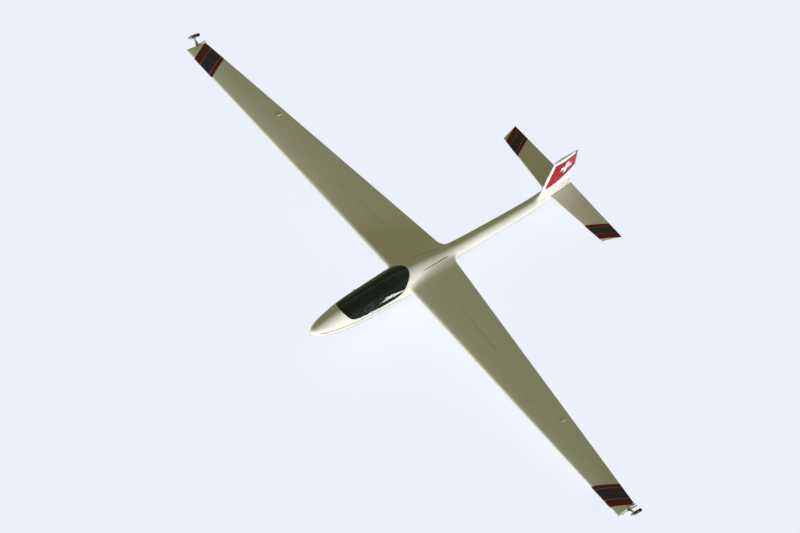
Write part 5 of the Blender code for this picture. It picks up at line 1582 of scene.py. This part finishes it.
def seat_pad(d0, d1, thick, inset):
    """Rings of a pad lying on the seat between two distances along it, rounded at its rim."""
    rings = []
    for k in range(17):
        v = k / 16
        p, run, up, half = seat_frame(d0 + (d1 - d0) * v)
        close = math.sin(math.pi * min(max(v, 0.02), 0.98)) ** 0.22
        ring = []
        for i in range(32):
            a = 2 * math.pi * i / 32
            c, s = math.cos(a), math.sin(a)
            ring.append(p + Vector(((half - inset) * (0.93 + 0.07 * close) * math.copysign(abs(c) ** 0.35, c), 0, 0))
                        + up * (0.0095 + thick / 2 + thick / 2 * close * math.copysign(abs(s) ** 0.55, s)))
        rings.append(ring)
    return rings


def sewn(pad, lines, deep, wide, above):
    """Presses sewn channels into a pad: lines(points) gives the distance of each point to the nearest seam."""
    mesh = pad.data
    co, normal = np.empty(3 * len(mesh.vertices), np.float32), np.empty(3 * len(mesh.vertices), np.float32)
    mesh.vertices.foreach_get("co", co)
    mesh.vertex_normals.foreach_get("vector", normal)
    co, normal = co.reshape(-1, 3), normal.reshape(-1, 3)
    press = deep * np.exp(-(lines(co) / wide) ** 2) * np.clip(above(co), 0.0, 1.0)
    mesh.vertices.foreach_set("co", (co - normal * press[:, None]).astype(np.float32).ravel())
    mesh.update()


SEAT_D = np.linspace(0, SEAT_LONG, 500)
SEAT_LINE = np.stack([SEAT_AT[0](SEAT_D), SEAT_AT[1](SEAT_D)], 1)
_way = np.gradient(SEAT_LINE, axis=0)
_way /= np.linalg.norm(_way, axis=1)[:, None]


def along_seat(points):
    """Distances along the seat and heights above it of many points."""
    where, high = [], []
    for part in np.array_split(np.asarray(points)[:, 1:3], max(1, len(points) // 4000)):
        near = np.argmin(((part[:, None] - SEAT_LINE[None]) ** 2).sum(2), axis=1)
        off = part - SEAT_LINE[near]
        where.append(SEAT_D[near] + (off * _way[near]).sum(1))
        high.append(off[:, 1] * _way[near, 0] - off[:, 0] * _way[near, 1])
    return np.concatenate(where), np.concatenate(high)


for name, node, d0, d1, thick, seams in (
    ("seat_cushion_pad", "seat_cushion", SEAT_KNOTS[1] - 0.004, SEAT_KNOTS[3] + 0.004, 0.030, 5),
    ("backrest_pad", "backrest_cushion", SEAT_KNOTS[4] + 0.002, SEAT_KNOTS[6] - 0.002, 0.030, 6),
):
    def grip(points):
        return along_seat(points)[1] < 0.013

    pad = stuffed(name, seat_pad(d0, d1, thick, 0.022), SEAT_CLOTH, grip, 0.009)
    width = (d1 - d0) / seams
    inside = np.array([d0 + width * k for k in range(1, seams)])
    sewn(pad, lambda co: np.abs(along_seat(co)[0][:, None] - inside).min(1), 0.0052, 0.0055, lambda co: (along_seat(co)[1] - 0.018) / 0.012)
    settle(pad, "airframe", node)
    # piping round the rim
    shape = Shape()
    rim_path = []
    for k in range(121):
        a = 2 * math.pi * k / 120
        c, s = math.cos(a), math.sin(a)
        mid, length = (d0 + d1) / 2, (d1 - d0) / 2 - 0.004
        p, run, up, half = seat_frame(mid + length * math.copysign(abs(c) ** 0.3, c))
        rim_path.append(p + Vector(((half - 0.0225) * math.copysign(abs(s) ** 0.3, s), 0, 0)) + up * (0.0095 + thick * 0.86))
    shape.tube(rim_path, 0.0026, 8)
    settle(shape.become(name.replace("pad", "piping"), PIPING), "airframe")

head_rings = []
for k in range(17):
    v = k / 16
    close = math.sin(math.pi * min(max(v, 0.02), 0.98)) ** 0.30
    ring = []
    for i in range(28):
        a = 2 * math.pi * i / 28
        c, s = math.cos(a), math.sin(a)
        ring.append(Vector((0.076 * (0.90 + 0.10 * close) * math.copysign(abs(c) ** 0.5, c), 2.100 + 0.0195 * close * math.copysign(abs(s) ** 0.7, s), 0.022 + 0.121 * v)))
    head_rings.append(ring)
head = stuffed("headrest_pad", head_rings, SEAT_CLOTH, lambda co: co[:, 1] > 2.112, 0.006, 0.005)
sewn(head, lambda co: np.abs(np.abs(co[:, 0]) - 0.030), 0.0040, 0.0045, lambda co: (2.100 - co[:, 1]) / 0.010)
settle(head, "airframe", "headrest")
shape = Shape()
shape.block((-0.060, 2.1205, 0.030), (0.060, 2.1275, 0.135), 0.003)
for side in (1, -1):
    shape.tube([(side * 0.032, 2.130, 0.105), (side * 0.032, 2.140, 0.075), (side * 0.032, 2.146, 0.030), (side * 0.032, 2.150, -0.006)], 0.0065, 14)
shape.block((-0.050, 2.128, -0.008), (0.050, 2.166, 0.004), 0.003)
settle(shape.become("headrest_bracket", BLACK), "airframe", "headrest_post")

# harness: two shoulder straps, two lap straps, a crotch strap and a round buckle
buckle_d = SEAT_KNOTS[3] - 0.020
p, run, up, half = seat_frame(buckle_d)
BUCKLE = p + up * 0.066
shape = Shape()
hardware = Shape()


def strap(points, width, normals=None):
    points = [Vector(q) for q in points]
    t = np.linspace(0, 1, len(points))
    fine = np.linspace(0, 1, 8 * len(points))
    path = list(zip(*[curve_through(t, [q[k] for q in points])(fine) for k in range(3)]))
    if normals is None:
        normals = [Vector((0, -0.55, 0.83))] * len(path)
    else:
        ns = [curve_through(t, [q[k] for q in normals])(fine) for k in range(3)]
        normals = [Vector(q).normalized() for q in zip(*ns)]
    shape.ribbon(path, normals, width, 0.0022)
    return path, normals


for side in (1, -1):
    pts, nrm = [], []
    for d, x, high in ((SEAT_KNOTS[6] + 0.045, 0.070, 0.050), (SEAT_KNOTS[6] - 0.02, 0.071, 0.056), (SEAT_KNOTS[5] + 0.02, 0.074, 0.057), (SEAT_KNOTS[5] - 0.08, 0.072, 0.057),
                       (SEAT_KNOTS[4] + 0.01, 0.060, 0.060), (SEAT_KNOTS[3] + 0.05, 0.040, 0.066), (buckle_d + 0.022, 0.018, 0.066)):
        p, run, up, half = seat_frame(min(d, SEAT_LONG))
        extra = max(d - SEAT_LONG, 0)
        pts.append(p + run * extra + Vector((side * x, 0, 0)) + up * high)
        nrm.append(up)
    pts.insert(0, Vector((side * 0.066, 2.235, 0.012)))
    nrm.insert(0, Vector((0, -0.1, 1)))
    pts.insert(1, Vector((side * 0.068, 2.130, 0.030)))
    nrm.insert(1, Vector((0, -0.4, 0.9)))
    path, normals = strap(pts, 0.044, nrm)
    mid = len(path) * 11 // 20
    at, up = Vector(path[mid]), normals[mid]
    run = (Vector(path[mid + 1]) - Vector(path[mid - 1])).normalized()
    turn = Matrix((Vector((1, 0, 0)), run, Vector((1, 0, 0)).cross(run))).transposed()
    hardware.block(at - Vector((0.027, 0.020, 0.0035)), at + Vector((0.027, 0.020, 0.0035)), 0.0022, turn=turn)
    # lap strap
    pts, nrm = [], []
    for d, x, high in ((buckle_d + 0.006, 0.022, 0.066), (buckle_d + 0.015, 0.070, 0.064), (buckle_d + 0.035, 0.115, 0.058), (buckle_d + 0.055, 0.145, 0.045), (buckle_d + 0.075, 0.158, 0.020)):
        p, run, up, half = seat_frame(d)
        pts.append(p + Vector((side * x, 0, 0)) + up * high)
        nrm.append(up + Vector((side * x * 5, 0, 0)))
    path, normals = strap(pts, 0.044, nrm)
    at, up = Vector(path[22]), normals[22]
    run = (Vector(path[23]) - Vector(path[21])).normalized()
    across = run.cross(up).normalized()
    turn = Matrix((across, run, across.cross(run))).transposed()
    hardware.block(at - Vector((0.027, 0.018, 0.0035)), at + Vector((0.027, 0.018, 0.0035)), 0.0022, turn=turn)
pts, nrm = [], []
for d, high in ((buckle_d - 0.010, 0.066), (buckle_d - 0.060, 0.058), (buckle_d - 0.130, 0.053), (buckle_d - 0.200, 0.052), (buckle_d - 0.262, 0.044), (buckle_d - 0.300, 0.016)):
    p, run, up, half = seat_frame(max(d, 0.0))
    pts.append(p + up * high)
    nrm.append(up)
strap(pts, 0.040, nrm)
settle(shape.become("harness_straps", WEBBING), "airframe")
p, run, up, half = seat_frame(buckle_d)
hardware.turned([(0, -0.006), (0.028, -0.006), (0.031, -0.003), (0.031, 0.006), (0.029, 0.009), (0.020, 0.0105), (0.0185, 0.013), (0.010, 0.014), (0, 0.014)], BUCKLE, up, 40)
# one bar across the turning cap, to grip it by
grip = Vector((0.0165, 0, 0)) + run * 0.004
hardware.tube([BUCKLE + up * 0.0135 - grip, BUCKLE + up * 0.0155 - grip * 0.6, BUCKLE + up * 0.0155 + grip * 0.6, BUCKLE + up * 0.0135 + grip], [0.0036, 0.0046, 0.0046, 0.0036], 14)
settle(hardware.become("harness_buckles", STEEL, 30.0), "airframe")

# instrument panel
shape = Shape()
face_low, face_high = Vector((0, 1.010, -0.225)), Vector((0, 1.045, 0.075))
up_face = (face_high - face_low).normalized()
out_face = Vector((0, up_face.z, -up_face.y))
panel_rings = []
for d, shrink in ((-0.105, 0.020), (-0.100, 0.012), (-0.010, 0.0), (0.000, 0.0012), (0.0015, 0.004)):
    ring = []
    for k in range(60):
        a = 2 * math.pi * k / 60
        c, s = math.cos(a), math.sin(a)
        wide = 0.148 - 0.018 * max(0.0, -s)
        if s >= 0:
            h = 0.185 + 0.120 * abs(s) ** 0.8
        else:
            h = 0.185 - 0.185 * abs(s) ** 0.45
        ring.append(face_low + up_face * (h - shrink * s) + Vector(((wide - shrink) * math.copysign(abs(c) ** 0.55, c), 0, 0)) + out_face * d)
    panel_rings.append(ring)
shape.loft(panel_rings)
settle(shape.become("instrument_panel_shell", BLACK, 40.0), "airframe", "instrument_panel")
dials = ((-0.083, 0.232, 0.036, 0.30), (0.000, 0.245, 0.036, 1.10), (0.083, 0.232, 0.036, -0.60), (-0.083, 0.140, 0.036, 2.0), (0.000, 0.152, 0.029, -1.4), (0.083, 0.140, 0.029, 0.2))
bezels, faces_, marks, panes = Shape(), Shape(), Shape(), Shape()
for x, h, r, way in dials:
    at = face_low + up_face * h + Vector((x, 0, 0)) + out_face * 0.0016
    bezels.turned([(r * 0.86, 0.0005), (r * 0.88, 0.0052), (r * 0.94, 0.0066), (r, 0.0058), (r + 0.001, 0.0), (r * 0.86, 0.0)], at, out_face, 44, closed=True)
    for k in range(4):
        a = math.pi / 4 + math.pi / 2 * k
        bezels.bolt(at + (Vector((1, 0, 0)) * math.cos(a) + up_face * math.sin(a)) * (r + 0.0055) , out_face, 0.0022, 0.0014)
    faces_.turned([(0, 0.0002), (r * 0.86, 0.0002), (r * 0.86, 0.0008), (0, 0.0008)], at, out_face, 40)
    for k in range(31):
        a = math.radians(-135 + 270 * k / 30)
        long = 0.20 if k % 5 == 0 else 0.11
        way_out = up_face * math.cos(a) + Vector((1, 0, 0)) * math.sin(a)
        side_out = out_face.cross(way_out)
        a0, a1, w = r * (0.82 - long), r * 0.82, r * (0.020 if k % 5 == 0 else 0.010)
        marks.loft([[at + way_out * q + side_out * s * w + out_face * lift for q, s in ((a0, -1), (a1, -1), (a1, 1), (a0, 1))] for lift in (0.0008, 0.0010)])
    way_out = up_face * math.cos(way) + Vector((1, 0, 0)) * math.sin(way)
    side_out = out_face.cross(way_out)
    marks.loft([[at + way_out * q + side_out * w + out_face * lift for q, w in ((-r * 0.20, -r * 0.035), (r * 0.55, -r * 0.030), (r * 0.70, 0), (r * 0.55, r * 0.030), (-r * 0.20, r * 0.035))] for lift in (0.0016, 0.0022)])
    marks.turned([(0, 0.0010), (r * 0.09, 0.0010), (r * 0.08, 0.0028), (0, 0.0030)], at, out_face, 20)
    panes.turned([(0, 0.0040), (r * 0.87, 0.0040), (r * 0.87, 0.0050), (0, 0.0050)], at, out_face, 40)
settle(bezels.become("dial_bezels", SATIN_BLACK, 30.0), "airframe")
settle(faces_.become("dial_faces", DIAL, 30.0), "airframe")
settle(marks.become("dial_marks_and_needles", MARKS, 30.0), "airframe")
settle(panes.become("dial_panes", DIAL_GLASS, 30.0), "airframe")
shape = Shape()
for x, h in ((-0.050, 0.070), (-0.020, 0.070), (0.020, 0.070), (0.050, 0.070)):
    at = face_low + up_face * h + Vector((x, 0, 0)) + out_face * 0.0016
    shape.turned([(0, 0.012), (0.004, 0.012), (0.0055, 0.010), (0.0062, 0.002), (0.0080, 0.0), (0, 0.0)], at, out_face, 24)
shape.block(face_low + Vector((-0.045, 0.004, 0.086)), face_low + Vector((0.045, 0.0225, 0.116)), 0.003)
settle(shape.become("panel_switches", SATIN_BLACK, 30.0), "airframe")
# glare shield lip over the panel
shape = Shape()
rings = []
for k in range(25):
    a = math.pi * k / 24
    c, s = math.cos(a), math.sin(a)
    mid = face_low + up_face * (0.188 + 0.124 * abs(s) ** 0.8) + Vector((0.151 * math.copysign(abs(c) ** 0.55, c), 0, 0))
    rings.append([mid + out_face * u + up_face * v for u, v in ((-0.060, 0.0), (-0.050, 0.003), (0.018, 0.003), (0.022, 0.0), (0.018, -0.003), (-0.050, -0.003))])
shape.loft(rings)
settle(shape.become("glare_shield", LEATHER, 40.0), "airframe")

shape = Shape()
rings = []
for z, w, d in ((-0.226, 0.050, 0.044), (-0.232, 0.054, 0.047), (-0.300, 0.052, 0.047), (-0.400, 0.046, 0.046), (-0.444, 0.046, 0.046)):
    ring = []
    for k in range(32):
        a = 2 * math.pi * k / 32
        ring.append(Vector((w * math.copysign(abs(math.cos(a)) ** 0.45, math.cos(a)), 0.953 + d * math.copysign(abs(math.sin(a)) ** 0.45, math.sin(a)), z)))
    rings.append(ring)
shape.loft(rings)
settle(shape.become("panel_column", COCKPIT, 40.0), "airframe", "panel_pedestal")

# stick with its grip, button and pleated boot
shape = Shape()
foot, head_at = Vector((0, 1.176, -0.462)), Vector((0, 1.160, -0.140))
line = (head_at - foot).normalized()
boot = [(0.000, 0.0)]
for k in range(41):
    v = k / 40
    boot.append((0.052 - 0.038 * v**0.8 + 0.0026 * math.sin(v * 2 * math.pi * 4.5), 0.070 * v))
boot.append((0.0, 0.0705))
shape.turned(boot, foot, line, 40, 1)
shape.turned([(0, 0.068), (0.0105, 0.068), (0.0105, 0.205), (0.0, 0.205)], foot, line, 24, 2)
grip_line = [(0, 0.196), (0.0150, 0.196), (0.0175, 0.200), (0.0165, 0.208)]
for k in range(21):
    v = k / 20
    grip_line.append((0.0160 + 0.0016 * math.sin(v * math.pi * 8) * (0.4 if v < 0.85 else 0) + 0.0012 * math.sin(v * math.pi), 0.208 + 0.100 * v))
grip_line += [(0.0178, 0.314), (0.0165, 0.320), (0.0110, 0.323), (0, 0.324)]
shape.turned(grip_line, foot, line, 32, 0)
shape.turned([(0, 0.322), (0.0050, 0.322), (0.0050, 0.3265), (0.0040, 0.3280), (0, 0.3285)], foot, line, 20, 3)
settle(shape.become("stick_and_boot", [GRIP, LEATHER, STEEL, RED_KNOB], 40.0), "airframe", "control_stick")

# rudder pedals on their slide
shape = Shape()
for side in (1, -1):
    x = side * 0.080
    shape.block((x - 0.034, 0.690, -0.288), (x + 0.034, 0.697, -0.132), 0.003)
    for z in (-0.265, -0.240, -0.215, -0.190, -0.165):
        shape.tube([(x - 0.028, 0.699, z), (x + 0.028, 0.699, z)], 0.0024, 10)
    shape.tube([(x - 0.036, 0.696, -0.200), (x - 0.030, 0.716, -0.196), (x, 0.722, -0.194), (x + 0.030, 0.716, -0.196), (x + 0.036, 0.696, -0.200)], 0.0045, 12)
shape.tube([(-0.104, 0.708, -0.292), (0.104, 0.708, -0.292)], 0.0080, 20)
shape.block((-0.020, 0.7005, -0.402), (0.020, 0.7155, -0.290), 0.004)
for side in (1, -1):
    shape.tube([(side * 0.020, 0.63, -0.400), (side * 0.020, 0.86, -0.418)], 0.0060, 14)
settle(shape.become("rudder_pedal_set", STEEL, 30.0), "airframe", "rudder_pedals")

# side consoles with their knobs, and the airbrake lever
for side, word in SIDES:
    shape = Shape()
    rings = []
    for k in range(19):
        y = 1.205 + 0.710 * k / 18
        close = min(1.0, math.sin(math.pi * (0.03 + 0.94 * k / 18)) * 6)
        wall = hull_x(y, -0.205, -WALL) - 0.0012
        rings.append([Vector((side * a, y, z)) for a, z in (
            (0.2135, -0.233), (0.2125, -0.200), (0.2135, -0.182), (0.2175, -0.1765), (0.2240, -0.1752), (0.5 * (0.224 + wall), -0.1752),
            (min(wall, hull_x(y, -0.177, -WALL) - 0.0012), -0.1765), (wall, -0.205), (min(wall, hull_x(y, -0.233, -WALL) - 0.0012), -0.2335), (0.224, -0.2345))])
    shape.loft(rings)
    settle(shape.become("console_" + word, COCKPIT, 40.0), "airframe", "side_console_" + word)


def knob(shape, at, axis, r, slot, stem_slot, stem=0.014):
    shape.turned([(0, -0.001), (r * 0.42, -0.001), (r * 0.36, stem * 0.6), (r * 0.36, stem)], at, axis, 18, stem_slot)
    shape.turned([(0, stem - 0.001), (r * 0.45, stem - 0.001), (r * 0.85, stem + r * 0.25), (r, stem + r * 0.85), (r * 0.88, stem + r * 1.45), (r * 0.5, stem + r * 1.78), (0, stem + r * 1.88)], at, axis, 28, slot)


shape = Shape()
for x, y, slot in ((0.245, 1.28, 1), (-0.245, 1.30, 3), (-0.243, 1.62, 2)):
    knob(shape, (x, y, -0.1752), (0, 0, 1), 0.012, slot, 0)
settle(shape.become("console_knobs", [STEEL, GREEN_KNOB, YELLOW_KNOB, RED_KNOB], 35.0), "airframe")
shape = Shape()
shape.tube([(0.236, 1.42, -0.172), (0.2345, 1.415, -0.150), (0.231, 1.407, -0.115), (0.228, 1.401, -0.092)], 0.0068, 16, 0)
shape.turned([(0, 0.0), (0.0090, 0.0), (0.0125, 0.004), (0.0132, 0.014), (0.0118, 0.045), (0.0132, 0.076), (0.0125, 0.086), (0.0090, 0.090), (0, 0.090)], (0.228, 1.360, -0.092), Vector((0, 0.09, 0.006)), 28, 1)
shape.block((0.226, 1.385, -0.1755), (0.246, 1.560, -0.1725), 0.001, 2)
settle(shape.become("airbrake_handle", [STEEL, BLUE_KNOB, BLACK], 35.0), "airframe", "airbrake_lever")

# ------------------------------------------------------------ small fittings outside
shape = Shape()
for side in (1, -1):
    for y, z in ((0.93, -0.20), (3.95, -0.02)):
        x = hull_x(y, z)
        shape.turned([(0, 0.0012), (0.006, 0.0010), (0.008, 0.0), (0.008, -0.003), (0, -0.003)], (side * x, y, z), (side, 0, 0.05), 24)
settle(shape.become("static_ports", STEEL, 30.0), "airframe")
shape = Shape()
shape.turned([(0.010, 0.0060), (0.0135, 0.0040), (0.0185, 0.0066), (0.0230, 0.0110), (0.0215, 0.0140), (0.010, 0.0100)], (0, 0, -0.120), (0, 1, 0), 40, closed=True)
settle(shape.become("nose_vent_ring", BLACK, 30.0), "airframe")

# ------------------------------------------------------------ floor, light
shape = Shape()
floor_mesh = bpy.data.meshes.new("floor")
floor_mesh.from_pydata([(-400, -400, 0), (400, -400, 0), (400, 400, 0), (-400, 400, 0)], [], [(0, 1, 2, 3)])
floor = bpy.data.objects.new("floor", floor_mesh)
SCENE.collection.objects.link(floor)
floor.location.z = -0.0012
floor.visible_shadow = False
floor.visible_glossy = False


def floor_look():
    made = bpy.data.materials.new("pale_floor")
    made.use_nodes = True
    tree = made.node_tree
    shader = tree.nodes["Principled BSDF"]
    noise = tree.nodes.new("ShaderNodeTexNoise")
    noise.inputs["Scale"].default_value = 0.05
    span = tree.nodes.new("ShaderNodeMapRange")
    for i, v in enumerate((0.3, 0.7, 0.80, 0.95)):
        span.inputs[i + 1].default_value = v
    tree.links.new(noise.outputs[0], span.inputs[0])
    tree.links.new(span.outputs[0], shader.inputs["Roughness"])
    shader.inputs["Base Color"].default_value = (0.22, 0.23, 0.24, 1)
    shader.inputs["Specular IOR Level"].default_value = 0.0
    # its glow is the backdrop's tone, and lights the aircraft from below only faintly
    seen = tree.nodes.new("ShaderNodeLightPath")
    glow = tree.nodes.new("ShaderNodeMapRange")
    tree.links.new(seen.outputs["Is Camera Ray"], glow.inputs[0])
    for i, v in enumerate((0.0, 1.0, 0.20, 0.930)):
        glow.inputs[i + 1].default_value = v
    shader.inputs["Emission Color"].default_value = (0.835, 0.873, 0.985, 1)
    tree.links.new(glow.outputs[0], shader.inputs["Emission Strength"])
    return made


floor_mesh.materials.append(floor_look())

world = bpy.data.worlds.new("studio")
SCENE.world = world
world.use_nodes = True
tree = world.node_tree
tree.nodes.clear()
out = tree.nodes.new("ShaderNodeOutputWorld")
both = tree.nodes.new("ShaderNodeMixShader")
seen = tree.nodes.new("ShaderNodeBackground")
lit = tree.nodes.new("ShaderNodeBackground")
rays = tree.nodes.new("ShaderNodeLightPath")
seen.inputs[0].default_value = (0.831, 0.871, 0.930, 1)
seen.inputs[1].default_value = 1.0
lit.inputs[0].default_value = (0.98, 1.00, 0.55, 1)
lit.inputs[1].default_value = 0.238
tree.links.new(rays.outputs["Is Camera Ray"], both.inputs[0])
tree.links.new(lit.outputs[0], both.inputs[1])
tree.links.new(seen.outputs[0], both.inputs[2])
tree.links.new(both.outputs[0], out.inputs[0])


def sun(name, toward, spread, strength, colour):
    """A broad soft light from a direction of the aircraft's frame."""
    data = bpy.data.lights.new(name, "SUN")
    data.angle, data.energy, data.color = math.radians(spread), strength, colour
    obj = bpy.data.objects.new(name, data)
    SCENE.collection.objects.link(obj)
    way = (TURN @ Vector(toward)).normalized()
    obj.location = STANCE @ Vector((0, 3.2, 0.1)) + way * 20
    obj.rotation_mode = "QUATERNION"
    obj.rotation_quaternion = way.to_track_quat("Z", "Y")
    return obj


sun("key", (0.96, -0.20, 0.05), 16.0, 3.9, (0.94, 0.95, 1.06))
sun("front", (0.00, -0.93, -0.36), 12.0, 3.1, (1.0, 0.99, 0.96))
sun("low", (0.84, 0.50, -0.20), 30.0, 0.05, (0.75, 1.00, 1.10))

# a soft box far out to the left and behind, whose reflection lies on the canopy's left pane
data = bpy.data.lights.new("strip", "AREA")
data.shape, data.size, data.size_y, data.energy, data.spread = "RECTANGLE", 1.30, 2.80, 54.0, math.radians(120)
data.color = (0.90, 1.00, 1.00)
strip_box = bpy.data.objects.new("strip", data)
SCENE.collection.objects.link(strip_box)
strip_way = Vector((-0.810, -0.553, 0.195))
strip_axis = (Vector((0, 1, 0)) - strip_way * strip_way.y / strip_way.length_squared).normalized()
strip_box.matrix_world = STANCE @ (Matrix.Translation(Vector((0.247, 1.760, 0.104)) - strip_way.normalized() * 8.0)
                                   @ Matrix((strip_axis, (-strip_way).normalized().cross(strip_axis), -strip_way.normalized())).transposed().to_4x4())
strip_box.visible_camera = False
SCENE.view_settings.view_transform = "Standard"
SCENE.view_settings.look = "None"
